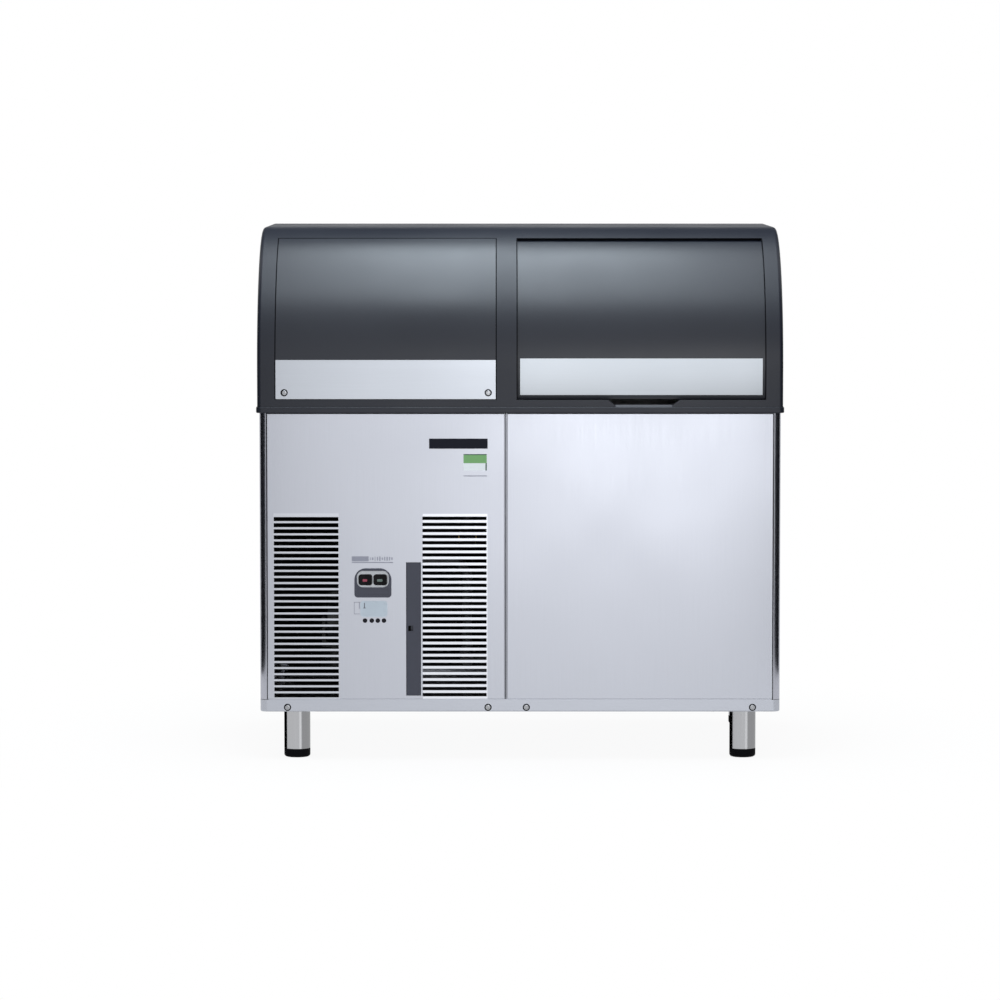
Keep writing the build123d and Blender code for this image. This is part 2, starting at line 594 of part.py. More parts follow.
def make_door_rail(end):
    """Curved channel fixed under the hood skin. A stop closes it at each end of the travel."""
    flange = HOOD_INNER_ARC - DOOR_OUTER - RAIL_RUN
    inner = DOOR_INNER - GLIDE_THICKNESS - RAIL_RUN
    slack = math.degrees(SEAT / DOOR_INNER)
    a0 = DOOR_BOTTOM_ANGLE - slack - RAIL_STOP
    a1 = DOOR_TOP_ANGLE + DOOR_TRAVEL + slack + RAIL_STOP
    if end < 0:
        x_open, x_web = RIGHT_OPENING[0] - 1.0, DOOR_LEFT - SEAT
        web = (x_web - RAIL_WALL, x_web)
    else:
        x_open, x_web = RIGHT_OPENING[1] + 1.0, DOOR_RIGHT + SEAT
        web = (x_web, x_web + RAIL_WALL)
    lo, hi = min(x_open, web[0]), max(x_open, web[1])
    block = arc_band(inner - RAIL_WALL, HOOD_INNER_ARC, a0, a1, lo, hi)
    run = (min(x_open, x_web), max(x_open, x_web))
    grow = 1.0 if end > 0 else 0.0
    channel = arc_band(inner, HOOD_INNER_ARC - flange, a0 + RAIL_STOP, a1 - RAIL_STOP,
                       run[0] - grow, run[1] + 1.0 - grow)
    return block - channel


def bin_block(z0, z1):
    """Block that fills the cabinet's right-hand side, rounded at the back corner."""
    block = box(BIN_LEFT, BIN_RIGHT, BIN_FRONT + FLANGE, BIN_BACK, z0, z1)
    corner = block.edges().filter_by(Axis.Z).sort_by(Axis.X)[-2:].sort_by(Axis.Y)[-1]
    return fillet(corner, CORNER_RADIUS)


def bin_solid(wall, floor, top):
    """Inside of the bin, drawn in by wall and floor thickness."""
    x0, x1 = BIN_LEFT + wall, BIN_RIGHT - wall
    y0, y1 = BIN_FRONT + wall, BIN_BACK - wall
    body = box(x0, x1, y0, y1, TRAY_FLOOR + floor, top)
    edges = body.edges().filter_by(Axis.Z) + body.edges().group_by(Axis.Z)[0]
    return fillet(edges, LINER_RADIUS - wall + BIN_WALL)


def bin_drain_path():
    """Route of the bin's drain hose: down from the floor, then across to the drain tee."""
    top = TRAY_FLOOR + BIN_FLOOR + LINER
    tee = CONNECTION_X + DRAIN_RADIUS + 6
    y = BIN_DRAIN_Y
    return [(BIN_DRAIN_X, y, top), (BIN_DRAIN_X, y, DRAIN_Z), (tee, y, DRAIN_Z)]


def make_bin_foam():
    outer = bin_block(TRAY_FLOOR, BIN_RIM - LINER)
    outer = chamfer(outer.edges().group_by(Axis.Z)[0], BEND_RADIUS + SEAT)
    channel = tube(bin_drain_path(), BIN_DRAIN_RADIUS + SEAT, BIN_DRAIN_BEND)
    return outer - bin_solid(BIN_WALL, BIN_FLOOR, BIN_RIM) - channel


def make_bin_liner():
    top = BIN_RIM
    shell = bin_solid(BIN_WALL, BIN_FLOOR, top) - bin_solid(BIN_WALL + LINER, BIN_FLOOR + LINER, top + 1)
    brim = bin_block(BIN_RIM - LINER, BIN_RIM)
    brim = brim - bin_solid(BIN_WALL + LINER, BIN_FLOOR + LINER, top + 1)
    path = bin_drain_path()
    hole = rod_z(path[1][2], path[0][2] + 2, path[0][0], path[0][1], BIN_DRAIN_RADIUS)
    return shell + brim - hole


def make_bin_drain_hose():
    path = bin_drain_path()
    hose = tube(path, BIN_DRAIN_RADIUS, BIN_DRAIN_BEND)
    return hose - tube(path, BIN_DRAIN_RADIUS - HOSE_WALL, BIN_DRAIN_BEND)


def make_chamber_shelf():
    x0, x1 = LEFT + SHEET + SEAT, BIN_LEFT - SEAT
    y0, y1 = FRONT + FLANGE + SHEET + SEAT, BIN_BACK
    body = box(x0, x1, y0, y1, SHELF_Z - SHELF_DEPTH, SHELF_Z)
    corner = body.edges().filter_by(Axis.Z).sort_by(Axis.X)[:2].sort_by(Axis.Y)[-1]
    body = fillet(corner, CORNER_RADIUS)
    under = SHELF_Z - SHELF_DEPTH - 1
    hollow = box(x0 + SHEET, x1 - SHEET, y0 + SHEET, y1 - SHEET, under, SHELF_Z - SHEET)
    sump = box(SUMP_LEFT - 2, SUMP_RIGHT + 2, SUMP_FRONT - 2, CHAMBER_BACK + 1, under, SHELF_Z + 1)
    pipes = [box(x - 8, x + 8, CHAMBER_BACK + 1, y1 - 3, under, SHELF_Z + 1) for x in (COIL_LEFT, COIL_RIGHT)]
    return body - hollow - sump - pipes


def make_freeze_chamber():
    """Moulded tub: a wide upper part, a sump below it, a window to the bin and two plate ledges."""
    w = CHAMBER_WALL
    upper = box(CHAMBER_LEFT, CHAMBER_RIGHT, CHAMBER_FRONT, CHAMBER_BACK, SHELF_Z, CHAMBER_TOP)
    upper = fillet(upper.edges().filter_by(Axis.Z), CHAMBER_CORNER)
    room = box(CHAMBER_LEFT + w, CHAMBER_RIGHT - w, CHAMBER_FRONT + w, CHAMBER_BACK - w,
               SHELF_Z + w, CHAMBER_TOP + 1)
    room = fillet(room.edges().filter_by(Axis.Z), CHAMBER_CORNER - w)
    sump = box(SUMP_LEFT, SUMP_RIGHT, SUMP_FRONT, CHAMBER_BACK, SUMP_BOTTOM, SHELF_Z + 1)
    sump = fillet(sump.edges().filter_by(Axis.Z), SUMP_CORNER)
    well = box(SUMP_LEFT + w, SUMP_RIGHT - w, SUMP_FRONT + w, CHAMBER_BACK - w,
               SUMP_BOTTOM + w, SHELF_Z + w + 1)
    well = fillet(well.edges().filter_by(Axis.Z), SUMP_CORNER - w)
    window = box(CHAMBER_RIGHT - w - 1, CHAMBER_RIGHT + 1, EXIT_FRONT, EXIT_BACK, EXIT_BOTTOM, EXIT_TOP)
    y0, y1 = CHAMBER_FRONT + 40, CHAMBER_BACK - 60
    z0 = PLATE_Z - LEDGE_REACH
    left_ledge = box(CHAMBER_LEFT + w / 2, CHAMBER_LEFT + w + LEDGE_REACH, y0, y1, z0, PLATE_Z)
    right_ledge = box(CHAMBER_RIGHT - w - LEDGE_REACH, CHAMBER_RIGHT - w / 2, y0, y1, z0, PLATE_Z)
    ports = [rod_y(CHAMBER_BACK - w - 1, CHAMBER_BACK + 1, x, COIL_Z, TUBE_RADIUS + PORT_GAP)
             for x in (COIL_LEFT, COIL_RIGHT)]
    drain = rod_z(SUMP_BOTTOM - 1, SUMP_BOTTOM + w + 1, STANDPIPE_X, STANDPIPE_Y,
                  STANDPIPE_RADIUS + SEAT)
    return upper + sump - room - well + left_ledge + right_ledge - window - ports - drain


def make_evaporator():
    """Freezing plate with cups that open downward."""
    w = CHAMBER_WALL
    plate = box(CHAMBER_LEFT + w + 3, CHAMBER_RIGHT - w - 3, PLATE_FRONT, PLATE_BACK,
                PLATE_Z, PLATE_Z + PLATE_THICKNESS)
    cup = Cone(CUP_MOUTH_RADIUS, CUP_TOP_RADIUS, CUP_DEPTH)
    hollow = Cone(CUP_MOUTH_RADIUS - CUP_WALL, CUP_TOP_RADIUS - CUP_WALL, CUP_DEPTH)
    cup = cup - hollow
    z = PLATE_Z - CUP_DEPTH / 2
    return plate + [Pos(x, y, z) * cup for x in CUP_COLUMN_X for y in CUP_ROW_Y]


def make_evaporator_coil():
    """Copper coil that lies on the plate and leaves by two holes in the tub's back wall."""
    near, far = CHAMBER_RIGHT - 66, CHAMBER_LEFT + 50
    points = [(COIL_RIGHT, COIL_END_Y, COIL_Z), (COIL_RIGHT, CUP_ROW_Y[0], COIL_Z)]
    for i, y in enumerate(CUP_ROW_Y):
        start, end = (near, far) if i % 2 == 0 else (far, near)
        if i > 0:
            points.append((start, y, COIL_Z))
        points.append((end if y < CUP_ROW_Y[-1] else COIL_LEFT, y, COIL_Z))
    points.append((COIL_LEFT, COIL_END_Y, COIL_Z))
    return tube(points, TUBE_RADIUS, CUP_PITCH / 2 - 1)


def make_evaporator_cover():
    """Lid of the tub with a rounded top and a rim that drops over its edge."""
    w = CHAMBER_WALL
    top = CHAMBER_TOP + COVER_HEIGHT
    lid = box(CHAMBER_LEFT, CHAMBER_RIGHT, CHAMBER_FRONT, CHAMBER_BACK, CHAMBER_TOP, top)
    lid = fillet(lid.edges().filter_by(Axis.Z), CHAMBER_CORNER)
    lid = fillet(lid.faces().sort_by(Axis.Z)[-1].edges(), 6.0)
    hollow = box(CHAMBER_LEFT + w, CHAMBER_RIGHT - w, CHAMBER_FRONT + w, CHAMBER_BACK - w,
                 CHAMBER_TOP - 1, top - 3)
    return lid - fillet(hollow.edges().filter_by(Axis.Z), CHAMBER_CORNER - w)


def slide_place():
    """Frame of the sloping parts, turned about the chamber's upper left."""
    return Pos(CHAMBER_LEFT + 24, 0, SPRAY_Z + 32) * Rot(0, SLIDE_SLOPE, 0)


def slide_length():
    return (CHAMBER_RIGHT - CHAMBER_LEFT - 40) / math.cos(math.radians(SLIDE_SLOPE))


def make_ice_slide():
    """Sloping grid: slats that the cubes slide down, held by three cross bars under them."""
    length = slide_length()
    half = CUP_PITCH / 4
    rows = [CUP_CENTRE_Y + (i - CUP_ROWS) * CUP_PITCH / 2 + half for i in range(2 * CUP_ROWS)]
    slats = []
    for y in rows:
        slats.append(box(0, length, y - SLAT_THICKNESS / 2, y + SLAT_THICKNESS / 2, -SLAT_HEIGHT, 0))
    y0, y1 = rows[0] - 30, rows[-1] + 30
    wall_y = (CHAMBER_FRONT + CHAMBER_WALL + SEAT, CHAMBER_BACK - CHAMBER_WALL - SEAT)
    bars = [box(x, x + 4, *wall_y, -SLAT_HEIGHT - 3, -SLAT_HEIGHT + 3) for x in (34, length - 6)]
    sides = [box(0, length, y, y + SLAT_THICKNESS, -SLAT_HEIGHT, 8) for y in (y0, y1 - SLAT_THICKNESS)]
    grid = slats[0] + slats[1:] + bars + sides
    return slide_place() * grid


def make_spray_bar():
    """Sloping branch tubes with nozzles, a header at the upper end and its feed from the pump."""
    drop = -SLAT_HEIGHT - 3 - SPRAY_TUBE - 1
    length = slide_length() - 60
    branches = [rod_x(0, length, y, drop, SPRAY_TUBE) for y in CUP_ROW_Y]
    for x in CUP_COLUMN_X:
        along = (x - CHAMBER_LEFT - 24) / math.cos(math.radians(SLIDE_SLOPE))
        for y in CUP_ROW_Y:
            branches.append(rod_z(drop, drop + SPRAY_TUBE + NOZZLE_HEIGHT, along, y, NOZZLE_RADIUS))
    header = rod_y(CUP_ROW_Y[0] - 14, PUMP_Y, 0, drop, SPRAY_TUBE + 2)
    bar = slide_place() * (header + branches)
    return bar + make_spray_feed(drop)


def make_spray_feed(drop):
    """Pipe from the pump up to the header."""
    end = slide_place() * Location((0, PUMP_Y, drop))
    x, z = end.position.X, end.position.Z
    low = SUMP_BOTTOM + CHAMBER_WALL + 20
    points = [(PUMP_X - PUMP_VOLUTE, PUMP_Y, low), (PUMP_X - 85, PUMP_Y, low),
              (PUMP_X - 85, PUMP_Y, SHELF_Z + 70), (x, PUMP_Y, SHELF_Z + 70), (x, PUMP_Y, z)]
    return tube(points, SPRAY_TUBE, 16.0)


def curtain_axis():
    """Place of the flaps' rod, outside the window and above it."""
    return CHAMBER_RIGHT + FLAP_KNUCKLE + SEAT, EXIT_TOP + 12


def make_curtain_rod():
    """Rod of the flaps, held by an ear at each end."""
    x, z = curtain_axis()
    rod = rod_y(EXIT_FRONT - 12, EXIT_BACK + 12, x, z, CURTAIN_ROD_RADIUS)
    for y0 in (EXIT_FRONT - 12, EXIT_BACK + 4):
        rod = rod + box(CHAMBER_RIGHT, x, y0, y0 + 8, z - CURTAIN_ROD_RADIUS, z + CURTAIN_ROD_RADIUS)
    return rod


def make_curtain_flap(index):
    """One flap that hangs on the rod and covers its share of the window."""
    x, z = curtain_axis()
    width = (EXIT_BACK - EXIT_FRONT) / FLAP_COUNT
    y0 = EXIT_FRONT + index * width + 1
    y1 = y0 + width - 2
    half = FLAP_THICKNESS / 2
    plate = box(x - half, x + half, y0, y1, EXIT_BOTTOM - 4, z)
    foot = box(x - half, x + half + 2, y0, y1, EXIT_BOTTOM - 4, EXIT_BOTTOM - 1)
    flap = plate + foot + rod_y(y0, y1, x, z, FLAP_KNUCKLE)
    return flap - rod_y(y0 - 1, y1 + 1, x, z, CURTAIN_ROD_RADIUS + FLAP_RUN)


def make_water_pump():
    """Upright pump: motor above the water, shaft housing, and the volute in the sump."""
    floor = SUMP_BOTTOM + CHAMBER_WALL + SEAT
    volute = rod_z(floor, floor + 34, PUMP_X, PUMP_Y, PUMP_VOLUTE)
    volute = fillet(volute.edges().group_by(Axis.Z)[-1], 5.0)
    neck = rod_z(floor + 30, SHELF_Z + 40, PUMP_X, PUMP_Y, 11.0)
    motor = rod_z(SHELF_Z + 40, SHELF_Z + 105, PUMP_X, PUMP_Y, 27.0)
    motor = fillet(motor.edges().group_by(Axis.Z)[-1], 8.0)
    ring = rod_z(SHELF_Z + 40, SHELF_Z + 46, PUMP_X, PUMP_Y, 32.0)
    arm = box(PUMP_X - 9, PUMP_X + 9, PUMP_Y, CHAMBER_BACK - CHAMBER_WALL - SEAT, SHELF_Z + 40, SHELF_Z + 44)
    return volute + neck + motor + ring + arm


def make_standpipe():
    """Overflow pipe that stands in the sump's drain hole."""
    z0 = SUMP_BOTTOM - 4
    pipe = rod_z(z0, SHELF_Z - 12, STANDPIPE_X, STANDPIPE_Y, STANDPIPE_RADIUS)
    collar = rod_z(SUMP_BOTTOM + CHAMBER_WALL + SEAT, SUMP_BOTTOM + CHAMBER_WALL + 6,
                   STANDPIPE_X, STANDPIPE_Y, STANDPIPE_RADIUS + 4)
    return pipe + collar - rod_z(z0 - 1, SHELF_Z, STANDPIPE_X, STANDPIPE_Y, STANDPIPE_RADIUS - 1.8)


def make_sump_hose():
    top = SUMP_BOTTOM - 4
    level = COMPRESSOR_TOP + 26
    x = CONNECTION_X
    points = [(STANDPIPE_X, STANDPIPE_Y, top), (STANDPIPE_X, STANDPIPE_Y, level),
              (x, STANDPIPE_Y, level), (x, STANDPIPE_Y, DRAIN_Z + TEE_REACH)]
    return tube(points, STANDPIPE_RADIUS, 30.0) - tube(points, STANDPIPE_RADIUS - HOSE_WALL, 30.0)


def make_drain_spigot():
    """Tee that gathers both drains, with its spigot in the sunk plate."""
    x = CONNECTION_X
    start = STANDPIPE_Y - 14
    tee = rod_y(start, RECESS_FACE + DRAIN_LENGTH, x, DRAIN_Z, DRAIN_RADIUS)
    branch = DRAIN_RADIUS - 1
    tee = tee + rod_z(DRAIN_Z, DRAIN_Z + TEE_REACH, x, STANDPIPE_Y, branch)
    tee = tee + rod_x(x, x + DRAIN_RADIUS + 6, BIN_DRAIN_Y, DRAIN_Z, branch)
    tee = tee + rod_y(RECESS_INNER - 5, RECESS_INNER, x, DRAIN_Z, DRAIN_RADIUS + COLLAR)
    tee = tee + rod_y(RECESS_INNER - 1, RECESS_FACE + SHOULDER, x, DRAIN_Z, DRAIN_RADIUS + SHOULDER)
    bore = DRAIN_RADIUS - 2.5
    tee = tee - rod_y(start + 3, RECESS_FACE + DRAIN_LENGTH + 1, x, DRAIN_Z, bore)
    tee = tee - rod_z(DRAIN_Z, DRAIN_Z + TEE_REACH + 1, x, STANDPIPE_Y, bore - 1)
    return tee - rod_x(x, x + DRAIN_RADIUS + 7, BIN_DRAIN_Y, DRAIN_Z, bore - 1)


def make_inlet_valve():
    """Solenoid valve with its threaded spigot in the sunk plate."""
    x = CONNECTION_X
    spigot = rod_y(RECESS_INNER - 2, RECESS_FACE + INLET_LENGTH, x, INLET_Z, INLET_RADIUS)
    flange = rod_y(RECESS_INNER - 5, RECESS_INNER, x, INLET_Z, INLET_RADIUS + COLLAR)
    shoulder = rod_y(RECESS_INNER - 1, RECESS_FACE + SHOULDER, x, INLET_Z, INLET_RADIUS + SHOULDER)
    body = box(x - 15, x + 15, RECESS_INNER - 38, RECESS_INNER - 4, INLET_Z - 15, INLET_Z + 15)
    body = fillet(body.edges(), 3.0)
    coil = rod_z(INLET_Z + 12, INLET_Z + 40, x, RECESS_INNER - 22, 13.0)
    barb = rod_y(RECESS_INNER - 55, RECESS_INNER - 36, x, INLET_Z, 5.0)
    bore = rod_y(RECESS_INNER + 6, RECESS_FACE + INLET_LENGTH + 1, x, INLET_Z, 9.0)
    return spigot + flange + shoulder + body + coil + barb - bore


def make_cable_gland():
    x = CONNECTION_X
    body = rod_y(RECESS_INNER - 8, RECESS_FACE + 15, x, GLAND_Z, GLAND_RADIUS)
    nut = Pos(x, RECESS_INNER, GLAND_Z) * (Plane.XZ * extrude(RegularPolygon(12.5, 6), 5))
    cap = Pos(x, RECESS_FACE + 9, GLAND_Z) * (Plane.XZ * extrude(RegularPolygon(12.5, 6), 9))
    return body + nut + cap - rod_y(RECESS_INNER - 9, RECESS_FACE + 16, x, GLAND_Z, GLAND_BORE)


def compressor_feet():
    """Centres of the compressor's four mounts."""
    return [(COMPRESSOR_X + dx, COMPRESSOR_Y + dy) for dx in (-88, 88) for dy in (-66, 66)]


def make_compressor():
    """Sealed shell of two pressed halves with a seam band, on its foot plate."""
    base = TRAY_FLOOR + MOUNT_HEIGHT
    r, h = COMPRESSOR_RADIUS, COMPRESSOR_HEIGHT
    half = make_face([Line((0, 0), (r - 22, 0)), CenterArc((r - 22, 22), 22, -90, 90),
                      Line((r, 22), (r, h * 0.45)), Line((r, h * 0.45), (r + 3, h * 0.45)),
                      Line((r + 3, h * 0.45), (r + 3, h * 0.45 + 5)),
                      Line((r + 3, h * 0.45 + 5), (r, h * 0.45 + 5)),
                      Line((r, h * 0.45 + 5), (r, h - 34)), CenterArc((r - 34, h - 34), 34, 0, 90),
                      Line((r - 34, h), (0, h)), Line((0, h), (0, 0))])
    shell = revolve(Plane.XZ * half, Axis.Z)
    shell = Pos(COMPRESSOR_X, COMPRESSOR_Y, base + FOOT_PLATE) * shell
    plate = rounded_plan(204, 160, 18, 0, FOOT_PLATE)
    plate = Pos(COMPRESSOR_X, COMPRESSOR_Y, base) * plate
    box_cover = box(COMPRESSOR_X - 26, COMPRESSOR_X + 20, COMPRESSOR_Y - r - 16, COMPRESSOR_Y - r + 18,
                    base + 60, base + 118)
    holes = [rod_z(base - 1, base + 4, x, y, 6.0) for x, y in compressor_feet()]
    return shell + plate + box_cover - holes


def make_compressor_mounts():
    """Rubber mounts that stand on the tray and reach through the foot plate."""
    base = TRAY_FLOOR + MOUNT_HEIGHT
    mounts = []
    for x, y in compressor_feet():
        mount = rod_z(TRAY_FLOOR, base, x, y, 11.0) + rod_z(base, base + FOOT_PLATE, x, y, 6.0)
        mounts.append(mount + rod_z(base + FOOT_PLATE, base + 7, x, y, 9.0))
    return Compound(children=mounts)


def make_condenser():
    """Fin pack between two end plates, with the return bends of its tubes."""
    half = CONDENSER_THICKNESS / 2
    x0, x1 = CONDENSER_X - half, CONDENSER_X + half
    y0, y1 = FIN_FRONT, FIN_BACK
    pack = box(x0 + 1, x1 - 1, y0, y1, CONDENSER_BOTTOM + 4, CONDENSER_TOP - 4)
    pitch = (y1 - y0) / CONDENSER_FINS
    cuts = []
    for i in range(CONDENSER_FINS):
        y = y0 + i * pitch
        cuts.append(box(x0 - 1, x0 + 8, y + 1.5, y + pitch - 1.5, CONDENSER_BOTTOM + 8, CONDENSER_TOP - 8))
        cuts.append(box(x1 - 8, x1 + 1, y + 1.5, y + pitch - 1.5, CONDENSER_BOTTOM + 8, CONDENSER_TOP - 8))
    coil = pack - cuts
    for y in (y0 - 1.5, y1 - 0.5):
        coil = coil + box(x0, x1, y, y + 2, CONDENSER_BOTTOM, CONDENSER_TOP)
    coil = coil + box(x0, x1, y0, y1, CONDENSER_BOTTOM, CONDENSER_BOTTOM + 5)
    count = 6
    step = (CONDENSER_TOP - CONDENSER_BOTTOM - 40) / (2 * count)
    for i in range(count):
        z = CONDENSER_BOTTOM + 20 + (2 * i + 0.5) * step
        bend = revolve(Pos(step / 2, 0) * Circle(TUBE_RADIUS), Axis.Y, 180)
        coil = coil + Pos(CONDENSER_X, y0 - 1, z + step / 2) * Rot(0, -90, 0) * Rot(90, 0, 0) * bend
    return coil


def make_fan_shroud():
    """Duct behind the condenser, with the round mouth that the fan runs in and a foot."""
    x0, x1 = SHROUD_FACE, CONDENSER_X - CONDENSER_THICKNESS / 2
    y, z = FAN_Y, FAN_Z
    body = box(x0, x1, CONDENSER_FRONT, CONDENSER_BACK, CONDENSER_BOTTOM, CONDENSER_TOP)
    hollow = box(x0 + SHEET, x1 + 1, CONDENSER_FRONT + SHEET, CONDENSER_BACK - SHEET,
                 CONDENSER_BOTTOM + SHEET, CONDENSER_TOP - SHEET)
    ring = rod_x(x0 - 14, x0 + SHEET / 2, y, z, FAN_MOUTH + 1.6)
    foot = box(x0, x1 + CONDENSER_THICKNESS, CONDENSER_FRONT, CONDENSER_BACK, TRAY_FLOOR, TRAY_FLOOR + SHEET)
    web = box(x0, x0 + SHEET, CONDENSER_FRONT, CONDENSER_BACK, TRAY_FLOOR, CONDENSER_BOTTOM + SHEET)
    return body + ring + foot + web - hollow - rod_x(x0 - 15, x0 + SHEET + 1, y, z, FAN_MOUTH)


def make_fan_motor():
    """Motor with its shaft and the four arms that carry it on the shroud."""
    y, z = FAN_Y, FAN_Z
    face = SHROUD_FACE
    x1 = face - FAN_DEPTH - 12
    motor = rod_x(x1 - MOTOR_LENGTH, x1, y, z, MOTOR_RADIUS)
    motor = fillet(motor.edges(), 6.0)
    motor = motor + rod_x(x1 - 1, face - 6, y, z, SHAFT_RADIUS)
    reach = (FAN_MOUTH + 8) / math.sqrt(2)
    parts = []
    for sy in (-1, 1):
        for sz in (-1, 1):
            arm = Box(3, 8, FAN_MOUTH + 12 - MOTOR_RADIUS + 6,
                      align=(Align.MAX, Align.CENTER, Align.MIN))
            turn = math.degrees(math.atan2(-sy, sz))
            parts.append(Pos(x1 - 8, y, z) * Rot(turn, 0, 0) * Pos(0, 0, MOTOR_RADIUS - 6) * arm)
            parts.append(box(x1 - 11, face, y + sy * reach - 4, y + sy * reach + 4,
                             z + sz * reach - 4, z + sz * reach + 4))
    return motor + parts


def make_fan():
    """Axial fan: hub and twisted blades, bored for the motor's shaft."""
    y, z = FAN_Y, FAN_Z
    hub = fillet(Cylinder(FAN_HUB, FAN_DEPTH).edges().group_by(Axis.Z)[-1], 4.0)
    blade = make_blade()
    blades = [Rot(0, 0, i * 360 / FAN_BLADES) * blade for i in range(FAN_BLADES)]
    fan = (hub + blades) & Cylinder(FAN_RADIUS, FAN_DEPTH + 20)
    fan = fan - Cylinder(SHAFT_RADIUS + SHAFT_RUN, FAN_DEPTH + 10)
    return Pos(SHROUD_FACE - FAN_DEPTH / 2 - 2, y, z) * Rot(0, 90, 0) * fan


def make_blade():
    """One blade, twisted from a steep root to a flatter and wider tip."""
    root = Plane(origin=(FAN_HUB - 4, 0, 0), x_dir=(0, 1, 0), z_dir=(1, 0, 0))
    tip = Plane(origin=(FAN_RADIUS, 0, 0), x_dir=(0, 1, 0), z_dir=(1, 0, 0))
    low = root * Rot(0, 0, 38) * Rectangle(26, 2.6)
    high = tip * Rot(0, 0, 20) * Rectangle(58, 2.0)
    return loft([low, high])


def make_filter_cassette():
    """Pull-out filter: front bar with its finger hole, open frame, cross bars and mesh."""
    half = FILTER_FRONT_WIDTH / 2
    y0 = FRONT - FILTER_PROUD
    bar = box(FILTER_X - half, FILTER_X + half, y0, FRONT + 4.5, FILTER_BOTTOM, FILTER_BOTTOM + FILTER_HEIGHT)
    bar = fillet(bar.edges().filter_by(Axis.Z) & bar.faces().sort_by(Axis.Y)[0].edges(), 1.2)
    grip_z = FILTER_BOTTOM + FILTER_HEIGHT * 0.505
    hole_x = FILTER_X - half + FINGER_HOLE_MARGIN
    bar = bar - box(hole_x, hole_x + FINGER_HOLE_WIDTH, y0 - 1, FRONT + 5.5,
                    grip_z - FINGER_HOLE_HEIGHT / 2, grip_z + FINGER_HOLE_HEIGHT / 2)
    f = FILTER_FRAME / 2
    z0, z1 = FILTER_BOTTOM + 4, FILTER_BOTTOM + FILTER_HEIGHT - 4
    y1 = FRONT + 4 + FILTER_LENGTH
    frame = box(FILTER_X - f, FILTER_X + f, FRONT + 4, y1, z0, z1)
    third = FILTER_LENGTH / 3
    holes = []
    for i in range(3):
        a = FRONT + 4 + i * third + 5
        holes.append(box(FILTER_X - f - 1, FILTER_X + f + 1, a, a + third - 10, z0 + 7, z1 - 7))
    mesh = box(FILTER_X - 0.4, FILTER_X + 0.4, FRONT + 6, y1 - 2, z0 + 2, z1 - 2)
    return bar + (frame - holes) + mesh


def make_filter_guide():
    """Top and bottom channels that the filter slides in, tied to the condenser's face."""
    f = FILTER_FRAME / 2 + FILTER_RUN
    y0, y1 = FRONT + 6, FRONT + FILTER_LENGTH + 10
    z0 = FILTER_BOTTOM + 4 - FILTER_RUN
    z1 = FILTER_BOTTOM + FILTER_HEIGHT - 4 + FILTER_RUN
    low = box(FILTER_X - f - 2, FILTER_X + f + 2, y0, y1, z0 - 3, z0 + 6)
    high = box(FILTER_X - f - 2, FILTER_X + f + 2, y0, y1, z1 - 6, z1 + 3)
    back = box(FILTER_X - f - 2, FILTER_X + f + 2, y1, y1 + 3, z0 - 3, z1 + 3)
    inside = box(FILTER_X - f, FILTER_X + f, y0 - 1, y1, z0, z1)
    condenser_face = CONDENSER_X + CONDENSER_THICKNESS / 2
    feet = [box(condenser_face, FILTER_X - f - 1, CONDENSER_FRONT + 8, y1, z0 - 3, z0 - 0.5),
            box(condenser_face, FILTER_X - f - 1, CONDENSER_FRONT + 8, y1, z1 + 0.5, z1 + 3)]
    return low + high + back + feet - inside


def shell_reach(x):
    """Distance from the compressor's middle to its shell, measured along Y at a place x."""
    return math.sqrt(COMPRESSOR_RADIUS ** 2 - (x - COMPRESSOR_X) ** 2)


def discharge_points():
    """Route from the compressor to the top of the condenser."""
    y0 = COMPRESSOR_Y - shell_reach(OUTLET_X - TUBE_RADIUS)
    low = CONDENSER_TOP - 26
    return [(OUTLET_X, y0, OUTLET_Z), (OUTLET_X, VALVE_Y, OUTLET_Z), (CONDENSER_X, VALVE_Y, OUTLET_Z),
            (CONDENSER_X, VALVE_Y, low), (CONDENSER_X, FIN_BACK + 1.5, low)]


def make_discharge_tube():
    return tube(discharge_points(), TUBE_RADIUS, 14.0)


def make_hot_gas_valve():
    """Solenoid valve on the discharge tube."""
    x, y, z = (OUTLET_X + CONDENSER_X) / 2, VALVE_Y, OUTLET_Z
    body = fillet(box(x - 13, x + 13, y - 12, y + 12, z - 12, z + 12).edges(), 2.0)
    coil = rod_z(z + 10, z + 48, x, y, 17.0)
    coil = fillet(coil.edges().group_by(Axis.Z)[-1], 3.0)
    cap = rod_z(z + 47, z + 54, x, y, 6.0)
    return body + coil + cap - rod_x(x - 14, x + 14, y, z, TUBE_RADIUS)


def make_drier():
    """Spun copper drier with necked ends."""
    half, neck, shoulder, body = DRIER_LENGTH / 2, DRIER_LENGTH / 2 - 14, DRIER_LENGTH / 2 - 26, 12.0
    outline = [(0, -half), (TUBE_RADIUS, -half), (TUBE_RADIUS, -neck), (body, -shoulder),
               (body, shoulder), (TUBE_RADIUS, neck), (TUBE_RADIUS, half), (0, half)]
    spun = revolve(Plane.XZ * make_face(Polyline(*outline, close=True)), Axis.Z)
    return Pos(CONDENSER_X, FIN_BACK + 1.5 + half, DRIER_Z) * Rot(-90, 0, 0) * spun


def make_liquid_tube():
    """Thin tube from the drier up behind the tub to the coil."""
    low = SUMP_BOTTOM - 20
    points = [(CONDENSER_X, FIN_BACK + 1.5 + DRIER_LENGTH, DRIER_Z), (CONDENSER_X, RISER_Y, DRIER_Z),
              (CONDENSER_X, RISER_Y, low), (COIL_RIGHT, RISER_Y, low),
              (COIL_RIGHT, RISER_Y, COIL_Z), (COIL_RIGHT, COIL_END_Y, COIL_Z)]
    return tube(points, TUBE_RADIUS, TUBE_BEND)


